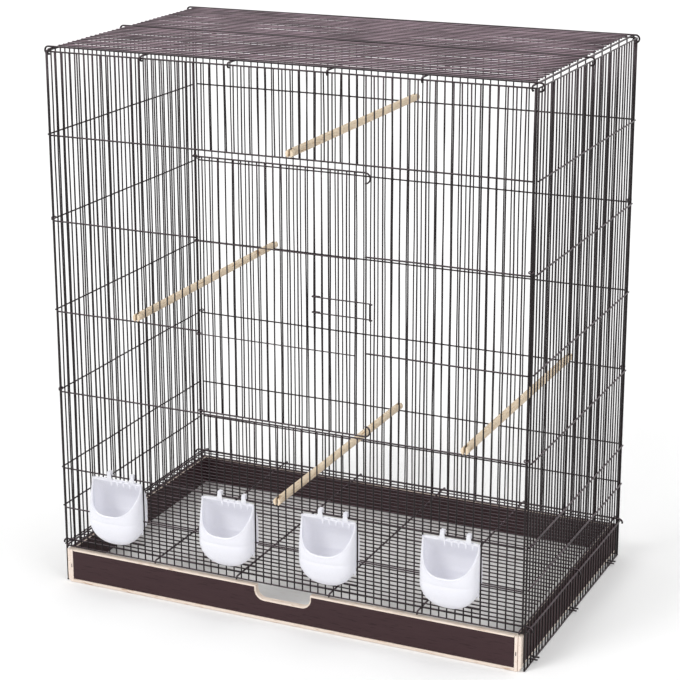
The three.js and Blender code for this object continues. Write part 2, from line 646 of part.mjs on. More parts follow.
function trayFront() {
  const half = BOARD_INNER - CLEAR;
  const low = SKIRT_LIFT + EDGING_HEIGHT + CLEAR;
  const cut = CUTOUT_WIDTH / 2;
  const floor = TRAY_TOP - CUTOUT_DEPTH;
  const corner = CUTOUT_RADIUS;
  const outline = new THREE.Shape();
  outline.moveTo(-half, low);
  outline.lineTo(half, low);
  outline.lineTo(half, TRAY_TOP);
  outline.lineTo(cut, TRAY_TOP);
  outline.absarc(cut - corner, floor + corner, corner, 0, -Math.PI / 2, true);
  outline.absarc(-cut + corner, floor + corner, corner, -Math.PI / 2, -Math.PI, true);
  outline.lineTo(-cut, TRAY_TOP);
  outline.lineTo(-half, TRAY_TOP);
  const options = { depth: BOARD, bevelEnabled: false, curveSegments: CUTOUT_STEPS };
  const board = new THREE.ExtrudeGeometry(outline, options);
  return solidOf(board.rotateX(Math.PI / 2).translate(0, FRONT_INNER, 0));
}

function trayEdging() {
  const half = BOARD_INNER - CLEAR;
  const top = SKIRT_LIFT + EDGING_HEIGHT;
  return block([-half, TRAY_FRONT, SKIRT_LIFT], [half, FRONT_INNER, top]);
}

// A corner batten at one side of the front, its outer foot rounded.
function trayBatten(side) {
  const round = BATTEN_ROUND;
  const foot = arc([TRAY_HALF - round, SKIRT_LIFT + round], round, -90, 90);
  const points = [[BOARD_INNER, SKIRT_LIFT], ...foot, [TRAY_HALF, TRAY_TOP], [BOARD_INNER, TRAY_TOP]];
  const outline = new THREE.Shape(points.map(([x, z]) => new THREE.Vector2(side * x, z)));
  const batten = new THREE.ExtrudeGeometry(outline, { depth: BOARD, bevelEnabled: false });
  return solidOf(batten.rotateX(Math.PI / 2).translate(0, FRONT_INNER, 0));
}

const SIDE_LOW = TRAY_FLOOR + TRAY_BASE + CLEAR;
const SIDE_START = FRONT_INNER + CLEAR;

function traySide(side) {
  const [low, high] = side < 0 ? [-TRAY_HALF, -BOARD_INNER] : [BOARD_INNER, TRAY_HALF];
  return block([low, SIDE_START, SIDE_LOW], [high, TRAY_BACK, TRAY_TOP]);
}

const trayRear = () =>
  block(
    [-BOARD_INNER + CLEAR, TRAY_BACK - BOARD, SIDE_LOW],
    [BOARD_INNER - CLEAR, TRAY_BACK, TRAY_TOP],
  );

const trayBase = () =>
  block([-TRAY_HALF, SIDE_START, TRAY_FLOOR], [TRAY_HALF, TRAY_BACK, TRAY_FLOOR + TRAY_BASE]);

// -------------------------------------------------------------- assembly ---
const cage = new THREE.Group();

function place(mesh, x, y, z, turn = 0) {
  mesh.position.set(x, y, z);
  mesh.rotation.z = turn;
  cage.add(mesh);
}

function addWalls() {
  const side = sideWall();
  for (const [name, field] of Object.entries(frontFields())) {
    place(piece(`front_wall_${name}`, field, paint), 0, -DEPTH / 2, 0);
  }
  place(piece('back_wall', backWall(), paint), 0, DEPTH / 2, 0, Math.PI);
  place(piece('right_wall', side, paint), WIDTH / 2, 0, 0, Math.PI / 2);
  place(piece('left_wall', side, paint), -WIDTH / 2, 0, 0, -Math.PI / 2);
  place(piece('roof_grille', roof(), paint), 0, 0, 0);
  place(piece('floor_grille', floorGrille(), paint), 0, 0, 0);
}

function addDoor() {
  place(piece('front_door', door(), paint), 0, -DEPTH / 2, 0);
  place(piece('door_latch', latch(), paint), 0, -DEPTH / 2, 0);
}

function addFeeders() {
  const solid = cup();
  PORTS.forEach(({ left, right }, index) => {
    const mesh = piece(`feeder_cup_${index + 1}`, solid, plastic);
    place(mesh, (left + right) / 2, -DEPTH / 2, HANG_RAIL);
  });
}

function addPerches() {
  const solid = perch();
  for (const { name, share, rail: support } of PERCHES) {
    const z = RAIL_HEIGHTS[support] + RAIL / 2 + CLEAR + PERCH / 2;
    place(piece(name, solid, dowelWood), nearestBar(FRONT_BARS, share * WIDTH), 0, z);
  }
}

function addTray() {
  place(piece('tray_front_board', trayFront(), laminate), 0, 0, 0);
  place(piece('tray_front_edging', trayEdging(), rawWood), 0, 0, 0);
  place(piece('tray_batten_right', trayBatten(1), rawWood), 0, 0, 0);
  place(piece('tray_batten_left', trayBatten(-1), rawWood), 0, 0, 0);
  place(piece('tray_side_right', traySide(1), laminate), 0, 0, 0);
  place(piece('tray_side_left', traySide(-1), laminate), 0, 0, 0);
  place(piece('tray_rear_board', trayRear(), laminate), 0, 0, 0);
  place(piece('tray_base_board', trayBase(), baseBoard), 0, 0, 0);
}

function addRunners() {
  const solid = runner();
  const names = ['runner_front', 'runner_middle', 'runner_rear'];
  RUNNER_PLACES.forEach((share, index) => {
    const y = nearestBar(SIDE_BARS, (share - 1 / 2) * DEPTH);
    place(piece(names[index], solid, paint), 0, y, RUNNER_Z);
  });
}

addWalls();
addDoor();
addFeeders();
addPerches();
addTray();
addRunners();

// The origin is the middle of the whole cage's footprint, on the ground.
const box = new THREE.Box3().setFromObject(cage);
const middle = box.getCenter(new THREE.Vector3());
cage.position.set(-middle.x, -middle.y, -box.min.z);

export default cage;
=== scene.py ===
import bmesh
import bpy
import numpy as np
from mathutils import Matrix, Vector


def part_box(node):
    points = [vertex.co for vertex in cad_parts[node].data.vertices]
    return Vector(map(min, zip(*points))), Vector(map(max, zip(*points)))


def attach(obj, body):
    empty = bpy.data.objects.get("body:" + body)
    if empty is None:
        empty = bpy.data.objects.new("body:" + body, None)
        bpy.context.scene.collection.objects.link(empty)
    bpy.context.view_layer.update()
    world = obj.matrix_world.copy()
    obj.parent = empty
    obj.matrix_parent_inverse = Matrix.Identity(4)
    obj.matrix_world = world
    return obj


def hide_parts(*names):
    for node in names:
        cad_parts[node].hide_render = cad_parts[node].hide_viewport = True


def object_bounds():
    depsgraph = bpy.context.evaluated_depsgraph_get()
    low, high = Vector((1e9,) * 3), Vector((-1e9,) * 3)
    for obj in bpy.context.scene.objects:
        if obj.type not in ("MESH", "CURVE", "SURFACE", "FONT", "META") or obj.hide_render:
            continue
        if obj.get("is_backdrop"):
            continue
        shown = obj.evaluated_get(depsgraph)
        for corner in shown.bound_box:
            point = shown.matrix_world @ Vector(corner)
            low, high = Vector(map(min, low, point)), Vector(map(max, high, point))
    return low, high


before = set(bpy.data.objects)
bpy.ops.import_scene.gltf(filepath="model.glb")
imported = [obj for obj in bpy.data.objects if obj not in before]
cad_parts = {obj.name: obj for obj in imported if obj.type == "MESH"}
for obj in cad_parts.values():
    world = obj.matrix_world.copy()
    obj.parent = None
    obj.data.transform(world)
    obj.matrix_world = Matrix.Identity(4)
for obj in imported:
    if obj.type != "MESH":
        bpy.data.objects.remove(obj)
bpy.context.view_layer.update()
scene = bpy.context.scene

# ---------------------------------------------------------------- camera ---
# The cage is seen from its front right and from a little above its roof,
# through a long lens about 3.2 m away. All lengths in this file are metres.
PICTURE = 680  # pixels, both ways
FOCAL = 2007  # pixels
SENSOR = 36  # millimetres
AZIMUTH, ELEVATION, ROLL = 25.51, 15.86, 0.40  # degrees
DISTANCE = 3.197
ASIDE, ALOFT = 0.062, -0.058  # the cage's middle from the lens axis
SHIFT = (0.049, -0.091)
FAR_END = 60
CAGE_MIDDLE = np.array((0, 0.0137, 0.436))


def camera_axes(azimuth, elevation, roll):
    """Right, up and back of the camera. Back is (sin a cos e, -cos a cos e,
    sin e), right is (cos a, sin a, 0), up is back times right, and the roll
    turns right and up about back."""
    a, e, r = np.radians((azimuth, elevation, roll))
    back = np.array((np.sin(a) * np.cos(e), -np.cos(a) * np.cos(e), np.sin(e)))
    right = np.array((np.cos(a), np.sin(a), 0))
    up = np.cross(back, right)
    return np.cos(r) * right - np.sin(r) * up, np.sin(r) * right + np.cos(r) * up, back


right, up, back = camera_axes(AZIMUTH, ELEVATION, ROLL)
place = CAGE_MIDDLE - ASIDE * right - ALOFT * up + DISTANCE * back
camera = bpy.data.objects.new("camera", bpy.data.cameras.new("camera"))
camera.data.sensor_width = SENSOR
camera.data.lens = FOCAL / PICTURE * SENSOR
camera.data.shift_x, camera.data.shift_y = SHIFT
camera.data.clip_end = FAR_END
pose = Matrix.Identity(4)
for column, vector in enumerate((right, up, back, place)):
    for row in range(3):
        pose[row][column] = vector[row]
camera.matrix_world = pose
scene.collection.objects.link(camera)
scene.camera = camera

# ------------------------------------------------------- room and lights ---
# A white room with a pale floor. The walls give an even light, and three
# large soft lamps, far enough away to light the whole floor alike, give the
# wires, the boards and the cups their shape.
AMBIENT = 0.62
LAMPS = (  # name, the way to it, its breadth in degrees, strength
    ("key_lamp", (-0.41, -0.64, 0.65), 24, 1.4),
    ("side_lamp", (0.85, -0.25, 0.45), 40, 0.6),
    ("top_lamp", (0.1, 0.3, 0.95), 40, 0.5),
)


def node(tree, kind, settings=None, **inputs):
    """Adds a shader node. Each input is a plain value or another node's
    output; inputs are named as on the node, or _0, _1 for a socket's number."""
    made = tree.nodes.new("ShaderNode" + kind)
    for name, value in (settings or {}).items():
        setattr(made, name, value)
    for name, value in inputs.items():
        numbered = name[0] == "_" and name[1:].isdigit()
        socket = made.inputs[int(name[1:]) if numbered else name.replace("_", " ")]
        if isinstance(value, bpy.types.NodeSocket):
            tree.links.new(value, socket)
        else:
            socket.default_value = value
    return made


def maths(tree, operation, *values):
    """The output of a Math node on plain values or sockets."""
    inputs = {f"_{index}": value for index, value in enumerate(values)}
    return node(tree, "Math", {"operation": operation}, **inputs).outputs[0]


def mixed(tree, factor, under, over, blend="MIX"):
    """A colour between two, by a mask. Each is a plain colour or a socket."""
    colours = [value if isinstance(value, bpy.types.NodeSocket) else (*value, 1) for value in (under, over)]
    settings = {"data_type": "RGBA", "blend_type": blend}
    return node(tree, "Mix", settings, Factor=factor, _6=colours[0], _7=colours[1]).outputs[2]


def seen_directly(tree):
    """One for rays from the camera, in a mirror or through glass, else zero."""
    path = node(tree, "LightPath").outputs
    glossy = maths(tree, "MAXIMUM", path["Is Camera Ray"], path["Is Glossy Ray"])
    return maths(tree, "MAXIMUM", glossy, path["Is Transmission Ray"])


room = bpy.data.worlds.new("white_room")
room.use_nodes = True
tree = room.node_tree
tree.nodes.clear()
brightness = maths(tree, "MULTIPLY_ADD", seen_directly(tree), 1 - AMBIENT, AMBIENT)
light = node(tree, "Background", Color=(1, 1, 1, 1), Strength=brightness)
node(tree, "OutputWorld", Surface=light.outputs[0])
scene.world = room
scene.view_settings.view_transform = "Standard"

for name, way, breadth, strength in LAMPS:
    lamp = bpy.data.objects.new(name, bpy.data.lights.new(name, "SUN"))
    lamp.data.angle = np.radians(breadth)
    lamp.data.energy = strength
    lamp.rotation_euler = Vector(way).to_track_quat("Z", "Y").to_euler()
    scene.collection.objects.link(lamp)


def new_material(name):
    """An empty node material and its tree."""
    made = bpy.data.materials.new(name)
    made.use_nodes = True
    made.node_tree.nodes.clear()
    return made, made.node_tree


def finish_material(tree, shader):
    """Puts a shader on a material's output."""
    node(tree, "OutputMaterial", Surface=shader.outputs[0])


FLOOR_GLOW = 0.12  # added for the camera, so that the open floor looks white
FLOOR_REACH = 25
floor_paint, tree = new_material("floor_paint")
spot = node(tree, "TexCoord").outputs["Object"]
haze = node(tree, "TexNoise", Vector=spot, Scale=1.5, Detail=2.0).outputs["Fac"]
tone = mixed(tree, haze, (0.86, 0.86, 0.86), (0.88, 0.88, 0.88))
glow = maths(tree, "MULTIPLY", seen_directly(tree), FLOOR_GLOW)
shader = node(tree, "BsdfPrincipled", Base_Color=tone, Roughness=0.9, Emission_Strength=glow)
shader.inputs["Emission Color"].default_value = (1, 1, 1, 1)
finish_material(tree, shader)

corners = [(x * FLOOR_REACH, y * FLOOR_REACH, 0) for x, y in ((-1, -1), (1, -1), (1, 1), (-1, 1))]
floor_mesh = bpy.data.meshes.new("studio_floor")
floor_mesh.from_pydata(corners, [], [(0, 1, 2, 3)])
floor_mesh.materials.append(floor_paint)
studio_floor = bpy.data.objects.new("studio_floor", floor_mesh)
scene.collection.objects.link(studio_floor)
studio_floor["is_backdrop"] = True

# ------------------------------------------------- side walls and corners ---
# A side wall is a panel of drawn steel wires, spot welded to nine long rails
# and enamelled. Wire rings at its corners go round the posts of the front
# and the back wall, and both side walls stand on their bottom rails.
BAR = 0.0012  # radii of the wires
RAIL = 0.0013
POST = 0.0015
EDGE = 0.0013
RING = 0.001
CLEAR = 0.0003  # gap between pieces that move or hook together
FRONT_Y, BACK_Y, SIDE_X = -0.22129, 0.24871, 0.3925
MIDDLE_Y = (FRONT_Y + BACK_Y) / 2
SIDE_HALF = 0.2315  # from a side wall's middle to its outer bars
SIDE_US = np.linspace(-SIDE_HALF, SIDE_HALF, 36)
OUTSIDE = BAR + RAIL + 0.0001  # rails lie this far outside the bars
FLOOR, KICK, HANG, LOWER, MIDDLE, UPPER, EAVES, TOP = (
    0.0625, 0.12925, 0.196, 0.32589, 0.45914, 0.60518, 0.73978, 0.869)
ALL_RAILS = (FLOOR, KICK, HANG, LOWER, MIDDLE, UPPER, EAVES)
WALLS = {  # a wall's middle on the floor, the way along it, the way out of it
    "front": ((0, FRONT_Y, 0), (1, 0, 0), (0, -1, 0)),
    "back": ((0, BACK_Y, 0), (-1, 0, 0), (0, 1, 0)),
    "right": ((SIDE_X, MIDDLE_Y, 0), (0, 1, 0), (1, 0, 0)),
    "left": ((-SIDE_X, MIDDLE_Y, 0), (0, -1, 0), (-1, 0, 0)),
}
BAR_STRAY, RAIL_STRAY, POST_STRAY = 0.0007, 0.0005, 0.0003  # drawn wires are never quite straight
rng = np.random.default_rng(11)


def in_wall(wall, points):
    """Points (along, out, up) of a wall as places in the room: the wall's
    middle plus the first number times its way along, and so on."""
    middle, along, out = (np.array(vector, float) for vector in WALLS[wall])
    return middle + points[..., :1] * along + points[..., 1:2] * out + points[..., 2:] * (0, 0, 1)


def bow(count, t, size):
    """How far drawn wires stray sideways at the distances t along them: size
    times (0.6 sin(k t + p) + 0.4 sin(2.3 k t + q)), with k, p and q drawn
    once for each wire."""
    k = rng.uniform(9, 16, (count, 1))
    p, q = rng.uniform(0, 2 * np.pi, (2, count, 1))
    return size * (0.6 * np.sin(k * t + p) + 0.4 * np.sin(2.3 * k * t + q))


def standing(us, low, high, stray=BAR_STRAY, steps=10):
    """Upright wires of a wall, as (wire, point, 3) arrays: a line from low to
    high at each u, bowed along the wall and 0.4 times as much out of it."""
    us = np.atleast_1d(us)
    low, high = (np.broadcast_to(np.asarray(end, float), us.shape) for end in (low, high))
    z = low[:, None] + (high - low)[:, None] * np.linspace(0, 1, steps + 1)
    return np.stack((us[:, None] + bow(len(us), z, stray), bow(len(us), z, stray * 0.4), z), 2)


def lying(levels, start, end, out, stray=RAIL_STRAY, steps=14):
    """Level rails of a wall, as (wire, point, 3) arrays: a line from start to
    end at each height, "out" from the bars and bowed up and down."""
    levels = np.atleast_1d(levels)
    u = np.broadcast_to(np.linspace(start, end, steps + 1), (len(levels), steps + 1))
    return np.stack((u, out + 0 * u, levels[:, None] + bow(len(levels), u, stray)), 2)


def tube(paths, radius, across, sides=6):
    """Round wires along paths, an array (wire, point, xyz). A ring's points
    are the path's point plus the radius times (cos a times u plus sin a times
    v), where u is "across" made square to the path and v is the path's
    direction times u. Both ends are closed by flat caps. The radius is a
    number, or an array over wires and points."""
    paths = np.asarray(paths, float)
    paths = paths[None] if paths.ndim == 2 else paths
    count, points = paths.shape[:2]
    along = np.gradient(paths, axis=1)
    along /= np.linalg.norm(along, axis=2, keepdims=True)
    across = np.asarray(across, float)
    u = across - along * (along @ across)[..., None]
    u /= np.linalg.norm(u, axis=2, keepdims=True)
    v = np.cross(along, u)
    angle = np.arange(sides) * 2 * np.pi / sides
    size = np.broadcast_to(radius, (count, points))[:, :, None, None]
    spokes = np.cos(angle)[:, None] * u[:, :, None] + np.sin(angle)[:, None] * v[:, :, None]
    verts = paths[:, :, None] + size * spokes
    index = np.arange(count * points * sides).reshape(count, points, sides)
    turned = np.roll(index, -1, axis=2)
    quads = np.stack((index[:, :-1], turned[:, :-1], turned[:, 1:], index[:, 1:]), -1).reshape(-1, 4)
    caps = np.concatenate((index[:, 0, ::-1], index[:, -1]))
    return verts.reshape(-1, 3), quads.tolist(), caps.tolist()


def build(name, parts, materials, body, replaced, crease=None):
    """One piece from parts. A part is its vertices, its rounded faces, its
    flat faces and, if it isn't the first, its material's number. Points that
    coincide are merged, so that seams and poles are closed, and edges that
    turn by more than the crease, in radians, stay crisp."""
    verts, faces, smooth, looks = [], [], [], []
    for part in parts:
        base = sum(len(block) for block in verts)
        verts.append(np.asarray(part[0]))
        for group, rounded in ((part[1], True), (part[2], False)):
            faces += [[base + corner for corner in face] for face in group]
            smooth += [rounded] * len(group)
            looks += [part[3] if len(part) > 3 else 0] * len(group)
    mesh = bpy.data.meshes.new(name)
    mesh.from_pydata(np.concatenate(verts).tolist(), [], faces)
    mesh.polygons.foreach_set("use_smooth", smooth)
    mesh.polygons.foreach_set("material_index", looks)
    shape = bmesh.new()
    shape.from_mesh(mesh)
    bmesh.ops.remove_doubles(shape, verts=shape.verts, dist=1e-6)
    if crease:
        for edge in shape.edges:
            edge.smooth = edge.calc_face_angle(0) < crease
    shape.to_mesh(mesh)
    shape.free()
    for material in materials:
        mesh.materials.append(material)
    piece = bpy.data.objects.new(name, mesh)
    scene.collection.objects.link(piece)
    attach(piece, body)
    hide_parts(*replaced)
    return piece


def new_group(name, inputs, outputs):
    """A node group with float inputs (name, value), a Vector input, and the
    named float outputs."""
    tree = bpy.data.node_groups.new(name, "ShaderNodeTree")
    tree.interface.new_socket("Vector", in_out="INPUT", socket_type="NodeSocketVector")
    for label, value in inputs:
        socket = tree.interface.new_socket(label, in_out="INPUT", socket_type="NodeSocketFloat")
        socket.default_value = value
    for label in outputs:
        tree.interface.new_socket(label, in_out="OUTPUT", socket_type="NodeSocketFloat")
    return tree, tree.nodes.new("NodeGroupInput").outputs, tree.nodes.new("NodeGroupOutput").inputs


def use_group(tree, group, **inputs):
    """The outputs of a group placed in a material, with inputs as in node()."""
    made = node(tree, "Group", {"node_tree": group}, **inputs)
    return made.outputs


# Cloudy mask, fine speckle and a height for a surface that was poured,
# dipped or moulded: slow noise for the clouds, quick noise for the speckle.
mottle, given, results = new_group(
    "mottle", (("Cloud size", 0.05), ("Speck size", 0.001)), ("Clouds", "Specks", "Height"))
slow = maths(mottle, "DIVIDE", 1.0, given["Cloud size"])
quick = maths(mottle, "DIVIDE", 1.0, given["Speck size"])
clouds = node(mottle, "TexNoise", Vector=given["Vector"], Scale=slow, Detail=3.0, Roughness=0.55)
specks = node(mottle, "TexNoise", Vector=given["Vector"], Scale=quick, Detail=2.0, Roughness=0.6)
both = maths(mottle, "MULTIPLY_ADD", specks.outputs["Fac"], 0.35, clouds.outputs["Fac"])
mottle.links.new(clouds.outputs["Fac"], results["Clouds"])
mottle.links.new(specks.outputs["Fac"], results["Specks"])
mottle.links.new(both, results["Height"])


def between(tree, value, low, high, start=0.0, end=1.0):
    """A value spread from start..end over low..high, and held there."""
    inputs = {"From_Min": start, "From_Max": end, "To_Min": low, "To_Max": high}
    return node(tree, "MapRange", {"clamp": True}, Value=value, **inputs).outputs[0]


def make_enamel(name, painted_top_light):
    """Near-black brown enamel, with painted top light: a clouded mauve film on what faces up stands in for
    the sheen of light from above.
    """
    material, tree = new_material(name)
    spot = node(tree, "TexCoord").outputs["Object"]
    coat = use_group(tree, mottle, Vector=spot, Cloud_size=0.06, Speck_size=0.0015)
    paint = mixed(tree, coat["Clouds"], (0.006, 0.003, 0.0035), (0.014, 0.0075, 0.009))
    facing = node(tree, "SeparateXYZ", Vector=node(tree, "NewGeometry").outputs["Normal"]).outputs["Z"]
    # Painted highlight: upward faces turn mauve, as light from above would make them shine.
    painted_light_film = maths(tree, "MULTIPLY", between(tree, facing, 0.0, painted_top_light, 0.1, 0.9), coat["Clouds"])
    tint = mixed(tree, painted_light_film, paint, (0.5, 0.36, 0.42))
    gloss = between(tree, coat["Specks"], 0.28, 0.44, 0.3, 0.7)
    bump = node(tree, "Bump", Strength=0.25, Distance=0.0002, Height=coat["Height"])
    shader = node(tree, "BsdfPrincipled", Base_Color=tint, Roughness=gloss, Normal=bump.outputs[0])
    shader.inputs["Specular IOR Level"].default_value = 0.28
    finish_material(tree, shader)
    return material


# Both enamels carry painted top light. The second, for the roof's thin wires, has far more of it.
enamel = make_enamel("enamel", painted_top_light=0.35)
painted_top_light_enamel = make_enamel("painted_top_light_enamel", painted_top_light=1.5)


def ring(middle, radius, tilt, steps=20):
    """A closed wire ring round an upright: middle plus radius times (cos a,
    sin a), rising and falling by the tilt times sin a."""
    a = np.linspace(0, 2 * np.pi, steps + 1)
    path = np.stack((radius * np.cos(a), radius * np.sin(a), tilt * np.sin(a)), 1) + middle
    return tube(path, RING, (0, 0, 1))


RING_RADIUS = POST * np.sqrt(2) + CLEAR + RING  # clears a square post too, as in the solids
RING_RISE = 0.005
CORNER_INSET = 0.0035  # from a side wall in to the corner posts
for side, outward in (("left", -1), ("right", 1)):
    parts = [
        tube(in_wall(side, standing(SIDE_US[1:-1], RAIL, TOP)), BAR, (0, 1, 0)),
        tube(in_wall(side, standing(SIDE_US[[0, -1]], RAIL, TOP, POST_STRAY)), POST, (0, 1, 0)),
        tube(in_wall(side, lying((RAIL, TOP), -SIDE_HALF - POST, SIDE_HALF + POST, 0, 0)), RAIL, (0, 0, 1)),
        tube(in_wall(side, lying(ALL_RAILS, -SIDE_HALF, SIDE_HALF, OUTSIDE)), RAIL, (0, 0, 1)),
    ]
    for corner_y in (FRONT_Y, BACK_Y):
        for level in (LOWER, UPPER):
            middle = (outward * (SIDE_X - CORNER_INSET), corner_y, level + RING_RISE)
            parts.append(ring(middle, RING_RADIUS, tilt=0.001))
    build(f"{side}_wall_wires", parts, [enamel], "cage", [f"{side}_wall"])

# -------------------------------------------------------------- back wall ---
# The back wall is welded like the sides, with two stouter uprights in line
# with the door's posts. It hangs in the rings of the side walls.
UPRIGHTS = 60
FRONT_HALF = 0.389  # from the middle of the front or back wall to its corner posts
FRONT_US = np.linspace(-FRONT_HALF, FRONT_HALF, UPRIGHTS)
DOOR_POSTS = (19, 40)  # numbers of the uprights beside the door, from the left
thin = [number for number in range(1, UPRIGHTS - 1) if number not in DOOR_POSTS]
stout = [0, *DOOR_POSTS, UPRIGHTS - 1]
across_all = (-FRONT_HALF - POST, FRONT_HALF + POST)
parts = [
    tube(in_wall("back", standing(FRONT_US[thin], RAIL, TOP)), BAR, (1, 0, 0)),
    tube(in_wall("back", standing(FRONT_US[stout], RAIL, TOP, POST_STRAY)), POST, (1, 0, 0)),
    tube(in_wall("back", lying((RAIL, TOP), *across_all, 0, 0)), RAIL, (0, 0, 1)),
    tube(in_wall("back", lying(ALL_RAILS, -FRONT_HALF, FRONT_HALF, OUTSIDE)), RAIL, (0, 0, 1)),
]
build("back_wall_wires", parts, [enamel], "cage", ["back_wall"])

# ------------------------------------------------------------- front wall ---
# One welded panel with an opening for the door and four ports for the seed
# cups. Its uprights are cut there and end on a rail, and the rail that the
# cups hang on runs right across. Stouter uprights stand beside the openings.
HINGE, LATCH_POST = DOOR_POSTS
PORTS = ((4, 11), (19, 26), (32, 39), (47, 54))  # the uprights beside each port
SILL = 0.088  # rail under a port
port_edges = [upright for port in PORTS for upright in port]


def front_spans(upright):
    """Heights between which an upright of the front wall runs."""
    in_port = any(first < upright < last for first, last in PORTS)
    in_door = HINGE < upright < LATCH_POST
    start = HANG if in_port else FLOOR
    spans = [(FLOOR, SILL)] if in_port else []
    return spans + ([(start, LOWER), (EAVES, TOP)] if in_door else [(start, TOP)])


def front_radius(upright):
    """An upright's radius: stout at the corners, less so at the openings."""
    if upright in (0, UPRIGHTS - 1):
        return POST
    return EDGE if upright in (HINGE, LATCH_POST, *port_edges) else BAR


runs = [(upright, *span) for upright in range(UPRIGHTS) for span in front_spans(upright)]
us = np.array([FRONT_US[run[0]] for run in runs])
lows, highs = (np.array([run[end] for run in runs]) for end in (1, 2))
sizes = np.array([front_radius(run[0]) for run in runs])
thin, stout = sizes == BAR, sizes > BAR
thin_bars = standing(us[thin], lows[thin], highs[thin])
stout_bars = standing(us[stout], lows[stout], highs[stout], POST_STRAY)
frame_rails = lying((FLOOR, HANG, TOP), *across_all, 0, 0)
opening_rails = lying((LOWER, EAVES), -FRONT_HALF, FRONT_HALF, OUTSIDE * 0.5, POST_STRAY)
parts = [
    tube(in_wall("front", thin_bars), BAR, (1, 0, 0)),
    tube(in_wall("front", stout_bars), sizes[stout, None], (1, 0, 0)),
    tube(in_wall("front", frame_rails), RAIL, (0, 0, 1)),
    tube(in_wall("front", opening_rails), RAIL, (0, 0, 1)),
]
for first, last in ((0, HINGE), (LATCH_POST, UPRIGHTS - 1)):
    rails = lying((MIDDLE, UPPER), FRONT_US[first], FRONT_US[last], OUTSIDE)
    parts.append(tube(in_wall("front", rails), RAIL, (0, 0, 1)))
beside_ports = [0, *port_edges, UPRIGHTS - 1]
for first, last in zip(beside_ports[::2], beside_ports[1::2]):
    kick_rail = lying(KICK, FRONT_US[first], FRONT_US[last], OUTSIDE, 0)
    parts.append(tube(in_wall("front", kick_rail), RAIL, (0, 0, 1)))
for first, last in PORTS:
    sill_rail = lying(SILL, FRONT_US[first], FRONT_US[last], 0, 0)
    parts.append(tube(in_wall("front", sill_rail), RAIL, (0, 0, 1)))
fields = ["left", "right", "over_door", "under_door"]  # the solids have the panel in parts
fields += [f"post_{number}" for number in range(1, 6)] + [f"sill_{number}" for number in range(1, 5)]
front_nodes = [f"front_wall_{field}" for field in fields]
build("front_wall_wires", parts, [enamel], "cage", front_nodes)

# --------------------------------------------------------- roof and floor ---
# Two loose welded panels. Thin wires run across the cage, over wires that run
# from front to back. The ends of those curl round the rails of the front and
# the back wall, and three cross borders curl round the side walls' rails.
RIM = 0.0015
WELD = 0.0003  # how deep the thin wires sink into those under them
CURL_RISE = RAIL * np.sqrt(2) + CLEAR + RIM
ROOF_SWEEP, FLOOR_SWEEP = 200, 100  # degrees that the ends curl round
BORDER_X, BORDER_Y = 0.38241, 0.22489
RIM_SHIFT = 0.003  # how much nearer the side walls the outer two wires lie
SHIFT_POWER = 9  # of a wire's share of the width, so that the others hardly shift


def curled(low, high, level, rise, sweep):
    """The line (place, height) of a wire that runs level from low to high
    and turns down at both ends round a rail: arcs of radius "rise" about
    the rail at "level", over the sweep in degrees."""
    a = np.radians(np.linspace(90 + sweep, 90, 13))
    start = np.stack((low + rise * np.cos(a), level + rise * np.sin(a)), 1)
    end = np.stack((high - rise * np.cos(a[::-1]), level + rise * np.sin(a[::-1])), 1)
    return np.concatenate((start, np.linspace(start[-1], end[0], 15)[1:-1], end))


def lid(name, level, sweep, front_rail, back_rail, side_rail, upper_finish):
    """A lid panel's wires at a rail's height. The thin wires on top have their own finish, so that the roof's
    can carry more painted top light."""
    bar_z = level + CURL_RISE + RIM + BAR - WELD
    ys = np.linspace(-BORDER_Y, BORDER_Y, 35)
    clear_of_borders = (abs(abs(ys) - BORDER_Y) > BAR) & (abs(ys) > BAR)
    ys = MIDDLE_Y + ys[clear_of_borders, None]
    x = np.linspace(-BORDER_X, BORDER_X, 15) + 0 * ys
    sideways = bow(len(ys), x, BAR_STRAY)
    bars = np.stack((x, ys + sideways, bar_z + bow(len(ys), x, POST_STRAY)), 2)
    parts = [(*tube(bars, BAR, (0, 0, 1)), 1)]
    for y in (-BORDER_Y, 0, BORDER_Y):
        line = curled(-side_rail, side_rail, level, bar_z - level, sweep)
        parts.append(tube(np.insert(line, 1, MIDDLE_Y + y, axis=1), RIM, (0, 1, 0)))
    gaps = (FRONT_US[1:] + FRONT_US[:-1]) / 2
    for share in np.linspace(-1, 1, 6):
        nearest_gap = gaps[np.argmin(abs(gaps - share * BORDER_X))]
        line = curled(front_rail, back_rail, level, CURL_RISE, sweep)
        path = np.insert(line, 0, nearest_gap + share ** SHIFT_POWER * RIM_SHIFT, axis=1)
        parts.append(tube(path, RIM, (1, 0, 0)))
    build(f"{name}_wires", parts, [enamel, upper_finish], "cage", [name])


# The roof's thin wires take the enamel with the most painted top light.
lid("roof_grille", TOP, ROOF_SWEEP, FRONT_Y, BACK_Y, SIDE_X, painted_top_light_enamel)
lid("floor_grille", FLOOR, FLOOR_SWEEP, FRONT_Y, BACK_Y + OUTSIDE, SIDE_X + OUTSIDE, enamel)

# ---------------------------------------------------------------- runners ---
# Three hairpins of stout wire lie on the bottom rails of the side walls and
# carry the tray. A bar of each wall stands between a hairpin's legs.
RUNNER = 0.0014
RUNNER_SPREAD = 0.009  # from one leg of a hairpin to the other
for name in ("front", "middle", "rear"):
    low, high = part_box(f"runner_{name}")
    y, z = (low[1] + high[1]) / 2, (low[2] + high[2]) / 2
    half = RUNNER_SPREAD / 2
    a = np.linspace(-np.pi / 2, -3 * np.pi / 2, 15)
    bend = np.stack((low[0] + RUNNER + half * (1 + np.cos(a)), y + half * np.sin(a)), 1)
    leg_in = np.linspace((high[0], y - half), bend[0], 12)[:-1]
    leg_out = np.linspace(bend[-1], (high[0], y + half), 12)[1:]
    path = np.insert(np.concatenate((leg_in, bend, leg_out)), 2, z, axis=1)
    parts = [tube(path, RUNNER, (0, 0, 1), 8)]
    build(f"runner_{name}_wire", parts, [enamel], "cage", [f"runner_{name}"])

